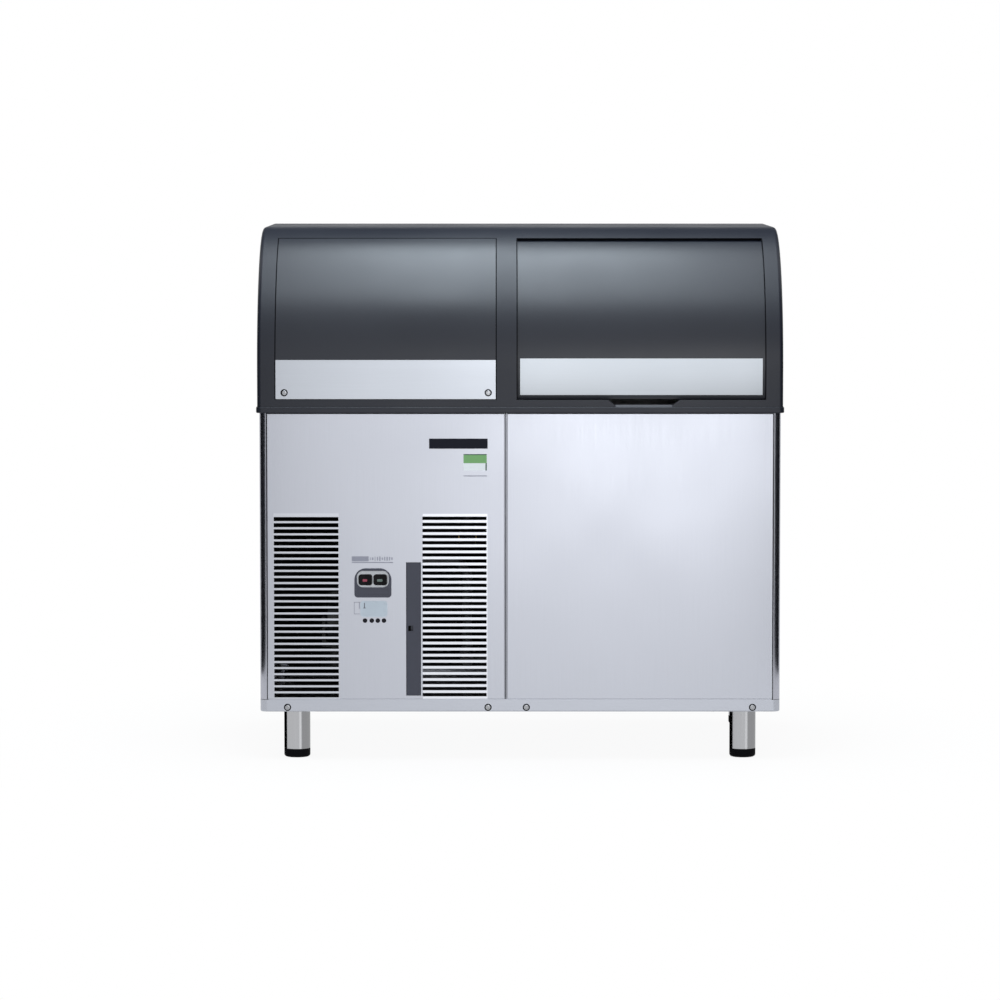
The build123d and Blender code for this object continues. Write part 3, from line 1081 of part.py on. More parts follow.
def make_suction_tube():
    """Tube from the coil down behind the tub to the compressor."""
    reach = shell_reach(COIL_LEFT + TUBE_RADIUS)
    points = [(COIL_LEFT, COIL_END_Y, COIL_Z), (COIL_LEFT, RISER_Y, COIL_Z), (COIL_LEFT, RISER_Y, OUTLET_Z),
              (COIL_LEFT, COMPRESSOR_Y + reach, OUTLET_Z)]
    return tube(points, TUBE_RADIUS, TUBE_BEND)


def make_control_box():
    """Electric box under the shelf, with a lid edge and two cable collars."""
    top = SHELF_Z - SHEET - SEAT
    x0, y0 = LEFT + 32, FRONT + FLANGE + 2 * SHEET + 2 * SEAT
    lid = box(x0, x0 + 196, y0, y0 + 10, top - 103, top)
    lid = fillet(lid.edges().filter_by(Axis.Y), 6.0)
    body = box(x0 + 3, x0 + 193, y0 + 2, y0 + 82, top - 100, top)
    body = fillet(body.edges().filter_by(Axis.Y), 5.0)
    collars = [rod_z(top - 112, top - 99, x, y0 + 46, 8.0) for x in (x0 + 43, x0 + 153)]
    return body + lid + collars


def bezel_outline(inset):
    """Arched outline of the switch bezel, drawn inward by the inset."""
    w = BEZEL_WIDTH / 2 - inset
    low, high = BEZEL_BOTTOM + inset, BEZEL_BOTTOM + BEZEL_HEIGHT - inset
    top, foot = BEZEL_TOP_RADIUS - inset, max(BEZEL_BOTTOM_RADIUS - inset, 1.5)
    return make_face([
        Line((-w, low + foot), (-w, high - top)),
        CenterArc((-w + top, high - top), top, 90, 90),
        Line((-w + top, high), (w - top, high)),
        CenterArc((w - top, high - top), top, 0, 90),
        Line((w, high - top), (w, low + foot)),
        CenterArc((w - foot, low + foot), foot, -90, 90),
        Line((w - foot, low), (-w + foot, low)),
        CenterArc((-w + foot, low + foot), foot, 180, 90),
    ])


def face_at(y, outline, depth):
    """Upright outline placed at y and pushed toward the back."""
    return Pos(BEZEL_X, y, 0) * (Plane.XZ * extrude(outline, -depth))


def make_control_bezel():
    """Dark arch round the switches, with a sloping sill under them."""
    y = FRONT - BEZEL_PROUD
    plate = face_at(y, bezel_outline(0), BEZEL_PROUD)
    plate = fillet(plate.faces().sort_by(Axis.Y)[0].edges(), 1.2)
    pocket = Pos(0, ROCKER_Z + 1.2) * RectangleRounded(
        BEZEL_WIDTH - RING_MARGIN, ROCKER_HEIGHT + RING_MARGIN + 2, 11.0)
    plate = plate - face_at(y - 1, pocket, BEZEL_PROUD + 2)
    sill_top = ROCKER_Z - ROCKER_HEIGHT / 2 - 6.5
    groove = box(BEZEL_X - BEZEL_WIDTH / 2 + 5, BEZEL_X + BEZEL_WIDTH / 2 - 5, y - 1, y + 0.9,
                 BEZEL_BOTTOM + 4.5, sill_top)
    return plate - groove


def make_switch_frame():
    """Light inner ring and the snap-in switch body behind it."""
    y = FRONT - BEZEL_PROUD
    ring = Pos(0, ROCKER_Z + 1.2) * RectangleRounded(
        BEZEL_WIDTH - RING_MARGIN - 2 * SEAT, ROCKER_HEIGHT + RING_MARGIN + 2 - 2 * SEAT, 10.7)
    frame = face_at(y + 0.6, ring, BEZEL_PROUD - 0.6)
    body = Pos(0, ROCKER_Z) * RectangleRounded(
        SWITCH_WIDTH - 2 * SEAT, ROCKER_HEIGHT + SWITCH_MARGIN - 2 * SEAT, 2.7)
    frame = frame + face_at(FRONT, body, 24)
    for side in (-1, 1):
        hole = Pos(side * ROCKER_PITCH / 2, ROCKER_Z) * RectangleRounded(
            ROCKER_WIDTH + 2 * ROCKER_RUN, ROCKER_HEIGHT + 2 * ROCKER_RUN, ROCKER_CORNER)
        frame = frame - face_at(y - 1, hole, 12)
    for side in (-1, 1):
        x = BEZEL_X + side * ROCKER_PITCH / 2
        frame = frame - rod_z(ROCKER_Z - ROCKER_HEIGHT / 2 - 2.5, ROCKER_Z + ROCKER_HEIGHT / 2 + 2.5,
                              x, rocker_axis_y(), ROCKER_PIN + ROCKER_PIN_RUN)
    return frame


def rocker_axis_y():
    return FRONT + 3.5


def make_rocker(side):
    """Rocker with two shallow lobes, tilted about its upright pins."""
    y = rocker_axis_y()
    half = ROCKER_WIDTH / 2
    bend = math.tan(math.radians(ROCKER_SWING / 2)) * half
    front = y - FRONT + BEZEL_PROUD - 0.2
    plan = make_face(Polyline((-half + 0.6, -front - bend * 0.5), (0, -front + bend * 0.6),
                              (half - 0.6, -front - bend * 0.5), (half - 2.2, 2.0),
                              (-half + 2.2, 2.0), close=True))
    cap = Pos(0, 0, -ROCKER_HEIGHT / 2) * extrude(plan, ROCKER_HEIGHT)
    cap = fillet(cap.edges().filter_by(Axis.Z), 0.6)
    outline = RectangleRounded(ROCKER_WIDTH, ROCKER_HEIGHT, ROCKER_CORNER)
    cap = cap & (Plane.XZ * extrude(outline, 2 * ROCKER_HEIGHT, both=True))
    pin = Pos(0, 0, -ROCKER_HEIGHT / 2 - 2) * Cylinder(
        ROCKER_PIN, ROCKER_HEIGHT + 4, align=(Align.CENTER, Align.CENTER, Align.MIN))
    x = BEZEL_X + side * ROCKER_PITCH / 2
    return Pos(x, y, ROCKER_Z) * Rot(0, 0, -ROCKER_SWING / 2) * (cap + pin)


def make_status_lenses():
    """Four light pipes with domed ends."""
    lenses = []
    for x in LENS_X:
        pipe = rod_y(FRONT - 0.8, FRONT + 9, x, LENS_Z, LENS_RADIUS - 0.1)
        rim = rod_y(FRONT + SHEET, FRONT + SHEET + 1.5, x, LENS_Z, LENS_RADIUS + LENS_RIM)
        lenses.append(pipe + rim)
    return Compound(children=lenses)


def make_legs():
    """Steel leg tubes, closed at the top, each with a nut plate for its foot."""
    legs = []
    for x, y in LEG_PLACES.values():
        leg = rod_z(FOOT_HEIGHT, FLOOR, x, y, LEG_RADIUS)
        leg = leg - rod_z(FOOT_HEIGHT - 1, FLOOR - 3, x, y, LEG_RADIUS - LEG_WALL)
        nut = rod_z(FOOT_HEIGHT + 4, FOOT_HEIGHT + 12, x, y, LEG_RADIUS - LEG_WALL / 2)
        legs.append(leg + nut - rod_z(FOOT_HEIGHT, FOOT_HEIGHT + 13, x, y, STUD_RADIUS + STUD_RUN))
    return Compound(children=legs)


def make_foot(place):
    """Foot with a rounded sole edge and its threaded stud."""
    x, y = place
    pad = rod_z(0, FOOT_HEIGHT - SEAT, x, y, LEG_RADIUS)
    pad = fillet(pad.edges().group_by(Axis.Z)[0], 5.0)
    pad = fillet(pad.edges().group_by(Axis.Z)[-1], 1.0)
    return pad + rod_z(FOOT_HEIGHT - 2, FOOT_HEIGHT + STUD_LENGTH, x, y, STUD_RADIUS)


def make_cabinet_screws():
    """Screws of the front rail, of the left strip and of the back sheet."""
    screws = []
    radius = SCREW_RADIUS - 0.05
    for x in FRONT_SCREW_X:
        head = rod_y(FRONT - SCREW_HEAD, FRONT, x, FRONT_SCREW_Z, SCREW_HEAD_RADIUS)
        screws.append(head + rod_y(FRONT - 0.5, FRONT + 8, x, FRONT_SCREW_Z, radius))
    for x in TRIM_SCREW_X:
        head = rod_y(HOOD_FRONT - SCREW_HEAD, HOOD_FRONT, x, TRIM_SCREW_Z, SCREW_HEAD_RADIUS)
        screws.append(head + rod_y(HOOD_FRONT - 0.5, HOOD_FRONT + 7, x, TRIM_SCREW_Z, radius))
    return Compound(children=screws)


def all_parts():
    """Every node's name and the call that makes it."""
    parts = {
        "base_tray": make_base_tray(),
        "side_panel_left": make_side_panel(-1),
        "side_panel_right": make_side_panel(1),
        "front_panel_left": make_front_panel_left(),
        "front_panel_right": make_front_panel_right(),
        "centre_post": make_centre_post(),
        "rear_panel": make_rear_panel(),
        "cabinet_screws": make_cabinet_screws(),
        "hood": make_hood(),
        "fixed_panel": make_fixed_panel(),
        "fixed_panel_trim": make_fixed_panel_trim(),
        "door_panel": make_door_panel(),
        "door_trim": make_door_trim(),
        "door_glides": make_door_glides(),
        "door_rail_left": make_door_rail(-1),
        "door_rail_right": make_door_rail(1),
        "bin_foam": make_bin_foam(),
        "bin_liner": make_bin_liner(),
        "bin_drain_hose": make_bin_drain_hose(),
        "freeze_chamber": make_freeze_chamber(),
        "chamber_shelf": make_chamber_shelf(),
        "evaporator": make_evaporator(),
        "evaporator_coil": make_evaporator_coil(),
        "evaporator_cover": make_evaporator_cover(),
        "spray_bar": make_spray_bar(),
        "ice_slide": make_ice_slide(),
        "curtain_rod": make_curtain_rod(),
        "water_pump": make_water_pump(),
        "standpipe": make_standpipe(),
        "sump_hose": make_sump_hose(),
        "drain_spigot": make_drain_spigot(),
        "inlet_valve": make_inlet_valve(),
        "cable_gland": make_cable_gland(),
        "compressor": make_compressor(),
        "compressor_mounts": make_compressor_mounts(),
        "condenser": make_condenser(),
        "fan_shroud": make_fan_shroud(),
        "fan_motor": make_fan_motor(),
        "fan": make_fan(),
        "filter_cassette": make_filter_cassette(),
        "filter_guide": make_filter_guide(),
        "hot_gas_valve": make_hot_gas_valve(),
        "drier": make_drier(),
        "discharge_tube": make_discharge_tube(),
        "suction_tube": make_suction_tube(),
        "liquid_tube": make_liquid_tube(),
        "control_box": make_control_box(),
        "control_bezel": make_control_bezel(),
        "switch_frame": make_switch_frame(),
        "rocker_left": make_rocker(-1),
        "rocker_right": make_rocker(1),
        "status_lenses": make_status_lenses(),
        "legs": make_legs(),
    }
    for i in range(FLAP_COUNT):
        parts[f"curtain_flap_{i + 1}"] = make_curtain_flap(i)
    for name, place in LEG_PLACES.items():
        parts[f"foot_{name}"] = make_foot(place)
    return parts


os.makedirs("parts", exist_ok=True)
for node, shape in all_parts().items():
    export_step(shape, f"parts/{node}.step")
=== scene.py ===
# %% [markdown]
# # An ice cube machine, dressed for its portrait
# The CAD model has every sheet, moulding and moving piece at its real size. This script is only
# about looks: a camera, light, finishes for each piece, and the small things that a CAD part leaves
# out, such as cross heads in the screws, a printed legend and the weave of the air filter.
# Everything is in metres. X runs to the right, Y to the back and Z up, with the floor at zero.

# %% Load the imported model
import bpy
import bmesh
import math
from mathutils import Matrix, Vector
from mathutils.bvhtree import BVHTree


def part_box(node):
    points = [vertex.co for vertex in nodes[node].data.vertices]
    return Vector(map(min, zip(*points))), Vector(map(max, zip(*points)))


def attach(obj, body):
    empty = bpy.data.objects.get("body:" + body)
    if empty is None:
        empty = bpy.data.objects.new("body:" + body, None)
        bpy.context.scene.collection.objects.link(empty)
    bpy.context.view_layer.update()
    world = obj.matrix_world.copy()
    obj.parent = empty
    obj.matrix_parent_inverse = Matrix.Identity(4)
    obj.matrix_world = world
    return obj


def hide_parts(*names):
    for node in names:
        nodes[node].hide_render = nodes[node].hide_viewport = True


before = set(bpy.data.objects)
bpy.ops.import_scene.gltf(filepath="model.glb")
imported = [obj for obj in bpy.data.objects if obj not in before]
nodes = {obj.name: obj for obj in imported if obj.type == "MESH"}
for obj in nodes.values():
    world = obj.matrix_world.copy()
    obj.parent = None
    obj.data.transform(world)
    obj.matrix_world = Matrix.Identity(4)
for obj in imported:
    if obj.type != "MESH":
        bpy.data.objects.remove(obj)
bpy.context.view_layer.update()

# %% [markdown]
# ## The camera
# The picture was taken from straight in front, with a long lens a few steps away: both sides of the
# cabinet are as good as parallel, and only a trace of the top shows. A long lens far off and tipped
# down four and a half degrees gives the same view. No depth of field, so that every edge stays sharp.

# %% Camera
LENS_MM = 164.6
TIPPED_DOWN = 4.53
camera_data = bpy.data.cameras.new("camera")
camera_data.sensor_width = 36.0
camera_data.lens = LENS_MM
camera_data.clip_end = 60.0
camera = bpy.data.objects.new("camera", camera_data)
bpy.context.scene.collection.objects.link(camera)
camera.location = (-0.0366, -8.6025, 1.136)
camera.rotation_euler = (math.radians(90.0 - TIPPED_DOWN), 0.0, 0.0)
bpy.context.scene.camera = camera
bpy.context.scene.view_settings.view_transform = "Standard"
print("camera", LENS_MM, "mm lens")

# %% [markdown]
# ## The room
# A white sweep without a visible edge. The floor is a large disc: the camera and the machine's polish
# see it as white, while other rays see an ordinary pale floor. Near the machine a small share of the
# ordinary floor is mixed in, so a faint shadow stays under it. The white comes from Light Path, and
# never from more light on the machine.

# %% Small helpers for meshes and materials
def mesh_object(name, mesh):
    """Object at the origin that carries a mesh."""
    piece = bpy.data.objects.new(name, mesh)
    bpy.context.scene.collection.objects.link(piece)
    return piece


def finished_mesh(name, bm):
    """Plain mesh from a bmesh, with its faces pointing outwards."""
    bmesh.ops.recalc_face_normals(bm, faces=bm.faces)
    mesh = bpy.data.meshes.new(name)
    bm.to_mesh(mesh)
    bm.free()
    return mesh


def from_bmesh(name, bm):
    """Object from a bmesh, with its faces pointing outwards."""
    return mesh_object(name, finished_mesh(name, bm))


def new_material(name):
    """Material with its node tree and its Principled BSDF."""
    material = bpy.data.materials.new(name)
    material.use_nodes = True
    tree = material.node_tree
    return material, tree, tree.nodes["Principled BSDF"]


def link(tree, source, output, target, socket):
    """Joins an output of one node to an input of another."""
    tree.links.new(source.outputs[output], target.inputs[socket])


def put_on(piece, material):
    """Gives a piece one material over its whole surface."""
    piece.data.materials.clear()
    piece.data.materials.append(material)


def joined(tree, kind, operation, *sources):
    """Math or vector math node that is fed by pairs of a node and its output."""
    node = tree.nodes.new(kind)
    node.operation = operation
    for socket, (source, output) in enumerate(sources):
        link(tree, source, output, node, socket)
    return node


MATHS, VECTORS = "ShaderNodeMath", "ShaderNodeVectorMath"


def white_rays(tree):
    """Node that is one for the camera's rays and for mirrored and refracted ones, else nothing."""
    path = tree.nodes.new("ShaderNodeLightPath")
    seen = joined(tree, MATHS, "MAXIMUM", (path, "Is Camera Ray"), (path, "Is Glossy Ray"))
    return joined(tree, MATHS, "MAXIMUM", (seen, "Value"), (path, "Is Transmission Ray"))


print("helpers ready")

# %% Floor
FLOOR_RADIUS = 14.0
NEAR, FAR = 0.45, 1.1
WHITE_NEAR, WHITE_FAR = 0.92, 1.0
floor_mesh = bmesh.new()
bmesh.ops.create_circle(floor_mesh, cap_ends=True, radius=FLOOR_RADIUS, segments=96)
floor = from_bmesh("floor", floor_mesh)
floor_material, tree, shader = new_material("floor paper")
shader.inputs["Base Color"].default_value = (0.86, 0.86, 0.865, 1.0)
shader.inputs["Roughness"].default_value = 0.85
grain = tree.nodes.new("ShaderNodeTexNoise")
grain.inputs["Scale"].default_value = 420.0
place = tree.nodes.new("ShaderNodeTexCoord")
bump = tree.nodes.new("ShaderNodeBump")
bump.inputs["Strength"].default_value = 0.04
link(tree, place, "Object", grain, "Vector")
link(tree, grain, "Fac", bump, "Height")
link(tree, bump, "Normal", shader, "Normal")
glow = tree.nodes.new("ShaderNodeEmission")
glow.inputs["Color"].default_value = (1.0, 1.0, 1.0, 1.0)
glow.inputs["Strength"].default_value = 1.0
reach = joined(tree, VECTORS, "LENGTH", (place, "Object"))
whiteness = tree.nodes.new("ShaderNodeMapRange")
whiteness.inputs["From Min"].default_value = NEAR
whiteness.inputs["From Max"].default_value = FAR
whiteness.inputs["To Min"].default_value = WHITE_NEAR
whiteness.inputs["To Max"].default_value = WHITE_FAR
link(tree, reach, "Value", whiteness, "Value")
share = joined(tree, MATHS, "MULTIPLY", (whiteness, "Result"), (white_rays(tree), "Value"))
mix = tree.nodes.new("ShaderNodeMixShader")
link(tree, share, "Value", mix, 0)
link(tree, shader, "BSDF", mix, 1)
link(tree, glow, "Emission", mix, 2)
link(tree, mix, "Shader", tree.nodes["Material Output"], "Surface")
put_on(floor, floor_material)
print("floor radius", FLOOR_RADIUS, "m")

# %% [markdown]
# ## The light
# Polished sheet and moulded plastic show their surroundings more than their colour. The world is an
# even grey-white for soft light. A long lamp overhead draws the bright band along the curved hood,
# because a curve tipped halfway between the camera and the ceiling mirrors what hangs above it. A
# smaller lamp in front on the right makes the steel brighter to the upper right, as in the picture.
# Polish also needs something dark to mirror. Black cards beside the machine draw the dark lines along
# the cabinet's rounded front corners, and one behind it is mirrored by the top of the hood. None of
# them is seen by the camera itself.

# %% World
world = bpy.data.worlds.new("studio")
bpy.context.scene.world = world
world.use_nodes = True
world.cycles.sampling_method = "NONE"
tree = world.node_tree
soft = tree.nodes["Background"]
soft.inputs["Color"].default_value = (0.94, 0.95, 1.0, 1.0)
soft.inputs["Strength"].default_value = 0.62
seen = tree.nodes.new("ShaderNodeBackground")
seen.inputs["Color"].default_value = (1.0, 1.0, 1.0, 1.0)
seen.inputs["Strength"].default_value = 1.0
mix = tree.nodes.new("ShaderNodeMixShader")
link(tree, white_rays(tree), "Value", mix, 0)
link(tree, soft, "Background", mix, 1)
link(tree, seen, "Background", mix, 2)
link(tree, mix, "Shader", tree.nodes["World Output"], "Surface")
print("world set")

# %% Lamps and dark cards
def area_lamp(name, place, aim, size, power, colour, roll=0.0):
    """Rectangular soft lamp that looks at a point, turned about its own axis by roll degrees."""
    data = bpy.data.lights.new(name, "AREA")
    data.shape = "RECTANGLE"
    data.size, data.size_y = size
    data.energy = power
    data.color = colour
    lamp = bpy.data.objects.new(name, data)
    bpy.context.scene.collection.objects.link(lamp)
    lamp.location = place
    lamp.rotation_euler = (Vector(aim) - Vector(place)).to_track_quat("-Z", "Y").to_euler()
    lamp.rotation_euler.rotate_axis("Z", math.radians(roll))


area_lamp("overhead", (-0.03, -0.35, 2.9), (-0.03, -0.15, 0.8), (0.75, 2.6), 64.0, (0.80, 0.91, 1.0))
area_lamp("front", (0.37, -3.6, 0.90), (0.23, 0.0, 0.6), (0.42, 1.35), 12.8, (1.0, 1.0, 1.0), -15.0)


def only_in_polish(card, material):
    """Gives a card a material; it is mirrored, but the camera, soft light and shadows leave it out."""
    put_on(card, material)
    card.visible_camera = False
    card.visible_diffuse = False
    card.visible_shadow = False


def dark_card(name, corners):
    """Black card with four corners."""
    bm = bmesh.new()
    bm.faces.new([bm.verts.new(c) for c in corners])
    card = from_bmesh(name, bm)
    material, _, shader = new_material(name)
    shader.inputs["Base Color"].default_value = (0.01, 0.01, 0.012, 1.0)
    shader.inputs["Roughness"].default_value = 1.0
    only_in_polish(card, material)


CARD_FRONT, CARD_BACK, CARD_LOW, CARD_HIGH = -0.62, -0.252, 0.15, 1.10
for side, name in ((-0.56, "dark card left"), (0.56, "dark card right")):
    dark_card(name, ((side, CARD_FRONT, CARD_LOW), (side, CARD_BACK, CARD_LOW),
                     (side, CARD_BACK, CARD_HIGH), (side, CARD_FRONT, CARD_HIGH)))
dark_card("dark card behind", ((-1.5, 1.1, 1.25), (1.5, 1.1, 1.25), (1.5, 0.9, 2.9), (-1.5, 0.9, 2.9)))
print("lamps and cards placed")

# %% [markdown]
# ## What the polished legs mirror
# A round tube mirrors the whole room in a few stripes. In the picture each front leg has a dark edge
# on its left, one bright line and a grey flank. Curved cards stand round the leg for each stripe:
# an angle of zero is straight in front, and larger angles go round to the right.

# %% Cards round the front legs
LEG_X, LEG_Y = 0.410, -0.238
RING_RADIUS, RING_LOW, RING_HIGH, RING_STEPS = 0.062, 0.004, 0.086, 12


def leg_card(name, centre, start, stop, strength):
    """Upright strip round a leg from start to stop degrees, that glows with a strength."""
    bm = bmesh.new()
    low, high = [], []
    for i in range(RING_STEPS + 1):
        turn = math.radians(start + (stop - start) * i / RING_STEPS)
        x, y = centre + RING_RADIUS * math.sin(turn), LEG_Y - RING_RADIUS * math.cos(turn)
        low.append(bm.verts.new((x, y, RING_LOW)))
        high.append(bm.verts.new((x, y, RING_HIGH)))
    for i in range(RING_STEPS):
        bm.faces.new((low[i], low[i + 1], high[i + 1], high[i]))
    card = from_bmesh(name, bm)
    material, _, shader = new_material(name)
    shader.inputs["Base Color"].default_value = (0.0, 0.0, 0.0, 1.0)
    shader.inputs["Specular IOR Level"].default_value = 0.0
    shader.inputs["Emission Color"].default_value = (1.0, 1.0, 1.0, 1.0)
    shader.inputs["Emission Strength"].default_value = strength
    only_in_polish(card, material)


for side, centre in (("left", -LEG_X), ("right", LEG_X)):
    leg_card(f"leg card dark {side}", centre, -176.0, -83.0, 0.0)
    leg_card(f"leg card bright {side}", centre, 17.0, 31.0, 1.35)
    leg_card(f"leg card grey {side}", centre, 35.0, 176.0, 0.60)
print("leg cards placed")

# %% [markdown]
# ## Shared effects
# Several finishes share the same small-scale effects, so each effect is one node group with named
# inputs. Brushed grain is noise stretched a hundredfold along the brushing direction. Moulded skin
# is a fine even pebble. Handling marks are a slow cloudy change in gloss. Groups put out only
# numbers and colours, and each material keeps its own Principled BSDF.

# %% Node group helper
def node_group(name, inputs, outputs):
    """Shader node group with named float or vector sockets."""
    group = bpy.data.node_groups.new(name, "ShaderNodeTree")
    for title, kind, value in inputs:
        socket = group.interface.new_socket(name=title, in_out="INPUT", socket_type=kind)
        if value is not None:
            socket.default_value = value
    for title, kind in outputs:
        group.interface.new_socket(name=title, in_out="OUTPUT", socket_type=kind)
    entry = group.nodes.new("NodeGroupInput")
    leave = group.nodes.new("NodeGroupOutput")
    return group, entry, leave


def noise_in(group, scale, detail):
    """Noise texture node with a scale and a detail."""
    noise = group.nodes.new("ShaderNodeTexNoise")
    noise.inputs["Scale"].default_value = scale
    noise.inputs["Detail"].default_value = detail
    return noise


def remap(group, low, high, to_low, to_high):
    """Map Range node with its four limits."""
    node = group.nodes.new("ShaderNodeMapRange")
    node.inputs["From Min"].default_value = low
    node.inputs["From Max"].default_value = high
    node.inputs["To Min"].default_value = to_low
    node.inputs["To Max"].default_value = to_high
    node.clamp = False
    return node


def tint_by(group, entry, leave, noise):
    """Puts out a colour between the Dark and Light inputs, chosen by a noise."""
    tint = group.nodes.new("ShaderNodeMix")
    tint.data_type = "RGBA"
    link(group, noise, "Fac", tint, 0)
    link(group, entry, "Dark", tint, 6)
    link(group, entry, "Light", tint, 7)
    link(group, tint, 2, leave, "Color")


print("group helpers ready")

# %% Brushed grain
brushed, entry, leave = node_group(
    "brushed grain",
    [("Vector", "NodeSocketVector", None), ("Stretch", "NodeSocketVector", (1.0, 1.0, 1.0)),
     ("Roughness", "NodeSocketFloat", 0.3), ("Dark", "NodeSocketColor", (0.5, 0.5, 0.5, 1.0)),
     ("Light", "NodeSocketColor", (0.6, 0.6, 0.6, 1.0))],
    [("Color", "NodeSocketColor"), ("Roughness", "NodeSocketFloat"), ("Height", "NodeSocketFloat")])
scaled = joined(brushed, VECTORS, "MULTIPLY", (entry, "Vector"), (entry, "Stretch"))
hair = noise_in(brushed, 1.0, 3.0)
link(brushed, scaled, "Vector", hair, "Vector")
tint_by(brushed, entry, leave, hair)
cloud = noise_in(brushed, 3.2, 2.0)
link(brushed, entry, "Vector", cloud, "Vector")
change = remap(brushed, 0.3, 0.7, -0.035, 0.035)
link(brushed, cloud, "Fac", change, "Value")
streak = remap(brushed, 0.25, 0.75, -0.03, 0.03)
link(brushed, hair, "Fac", streak, "Value")
both = joined(brushed, MATHS, "ADD", (change, "Result"), (streak, "Result"))
total = joined(brushed, MATHS, "ADD", (both, "Value"), (entry, "Roughness"))
link(brushed, total, "Value", leave, "Roughness")
link(brushed, hair, "Fac", leave, "Height")
print("brushed grain ready")

# %% Moulded skin
moulded, entry, leave = node_group(
    "moulded skin",
    [("Vector", "NodeSocketVector", None), ("Pebble", "NodeSocketFloat", 900.0),
     ("Roughness", "NodeSocketFloat", 0.4), ("Dark", "NodeSocketColor", (0.04, 0.04, 0.05, 1.0)),
     ("Light", "NodeSocketColor", (0.05, 0.05, 0.06, 1.0))],
    [("Color", "NodeSocketColor"), ("Roughness", "NodeSocketFloat"), ("Height", "NodeSocketFloat")])
pebble = noise_in(moulded, 900.0, 1.0)
link(moulded, entry, "Vector", pebble, "Vector")
link(moulded, entry, "Pebble", pebble, "Scale")
link(moulded, pebble, "Fac", leave, "Height")
cloud = noise_in(moulded, 5.0, 3.0)
link(moulded, entry, "Vector", cloud, "Vector")
change = remap(moulded, 0.3, 0.7, -0.03, 0.04)
link(moulded, cloud, "Fac", change, "Value")
total = joined(moulded, MATHS, "ADD", (change, "Result"), (entry, "Roughness"))
link(moulded, total, "Value", leave, "Roughness")
tint_by(moulded, entry, leave, cloud)
print("moulded skin ready")

# %% [markdown]
# ## Finishes
# Two makers cover nearly everything. A metal reads the brushed grain group with its own stretch, so
# the hair lines run up the cabinet sheets and along the two bright strips. A plastic reads the
# moulded skin group. A colour is given as a pair, darker and lighter, and the texture moves between.

# %% Makers of finishes
def colour_pair(colour, spread):
    """Darker and lighter version of a colour, as RGBA."""
    dark = [c * (1.0 - spread) for c in colour] + [1.0]
    light = [min(1.0, c * (1.0 + spread)) for c in colour] + [1.0]
    return dark, light


def finish_with(group, name, colour, spread, roughness, bump_strength, bump_distance):
    """Material that reads its colour, gloss and relief from a shared group."""
    material, tree, shader = new_material(name)
    place = tree.nodes.new("ShaderNodeTexCoord")
    effect = tree.nodes.new("ShaderNodeGroup")
    effect.node_tree = group
    effect.inputs["Dark"].default_value, effect.inputs["Light"].default_value = colour_pair(colour, spread)
    effect.inputs["Roughness"].default_value = roughness
    bump = tree.nodes.new("ShaderNodeBump")
    bump.inputs["Strength"].default_value = bump_strength
    bump.inputs["Distance"].default_value = bump_distance
    link(tree, place, "Object", effect, "Vector")
    link(tree, effect, "Color", shader, "Base Color")
    link(tree, effect, "Roughness", shader, "Roughness")
    link(tree, effect, "Height", bump, "Height")
    link(tree, bump, "Normal", shader, "Normal")
    return material, effect, shader


def metal(name, colour, roughness, stretch=(60.0, 60.0, 60.0), spread=0.05, relief=0.12):
    """Metal whose grain runs along the axis with the smallest stretch."""
    material, effect, shader = finish_with(brushed, name, colour, spread, roughness, relief, 0.0002)
    effect.inputs["Stretch"].default_value = stretch
    shader.inputs["Metallic"].default_value = 1.0
    return material


def plastic(name, colour, roughness, pebble=1100.0, spread=0.06, relief=0.10, specular=0.5):
    """Moulded plastic with a fine skin."""
    material, effect, shader = finish_with(moulded, name, colour, spread, roughness, relief, 0.0003)
    effect.inputs["Pebble"].default_value = pebble
    shader.inputs["Specular IOR Level"].default_value = specular
    return material


finishes = {}
print("makers ready")

# %% Metals
UPRIGHT = (900.0, 900.0, 9.0)
STEEL, ZINC, BRASS = (0.430, 0.447, 0.498), (0.50, 0.52, 0.55), (0.48, 0.34, 0.14)
finishes["sheet"] = metal("brushed cabinet sheet", STEEL, 0.36, UPRIGHT)
# The louvred sheet carries a painted highlight on the strips between its louvres, laid on further down.
finishes["louvred"] = metal("brushed louvred sheet with painted highlight", STEEL, 0.36, UPRIGHT)
finishes["side"] = metal("brushed side sheet", (0.420, 0.430, 0.485), 0.25, UPRIGHT)
finishes["strip"] = metal("satin strip", (0.425, 0.450, 0.495), 0.36, (8.0, 900.0, 900.0))
finishes["door strip"] = metal("satin curved strip", (0.565, 0.60, 0.645), 0.56, (8.0, 900.0, 900.0))
finishes["tray"] = metal("brushed tray", (0.425, 0.445, 0.495), 0.36, (9.0, 900.0, 900.0))
finishes["tube"] = metal("polished leg tube", (0.43, 0.435, 0.45), 0.15, (700.0, 700.0, 8.0))
finishes["zinc"] = metal("galvanised sheet", ZINC, 0.42, (40.0, 40.0, 40.0), 0.14, 0.05)
finishes["back"] = metal("galvanised back", ZINC, 0.42, (40.0, 40.0, 40.0), 0.14, 0.05)
finishes["screw"] = metal("plated screw", (0.36, 0.37, 0.39), 0.30, (300.0, 300.0, 300.0))
finishes["copper"] = metal("copper tube", (0.42, 0.20, 0.12), 0.34, (60.0, 60.0, 60.0), 0.12, 0.05)
finishes["tinned"] = metal("tinned copper", (0.66, 0.66, 0.64), 0.32, (50.0, 50.0, 50.0), 0.08, 0.05)
finishes["brass"] = metal("turned brass", BRASS, 0.30, (200.0, 9.0, 200.0))
finishes["inlet"] = metal("brass inlet", BRASS, 0.30, (200.0, 9.0, 200.0))
print(len(finishes), "metals")

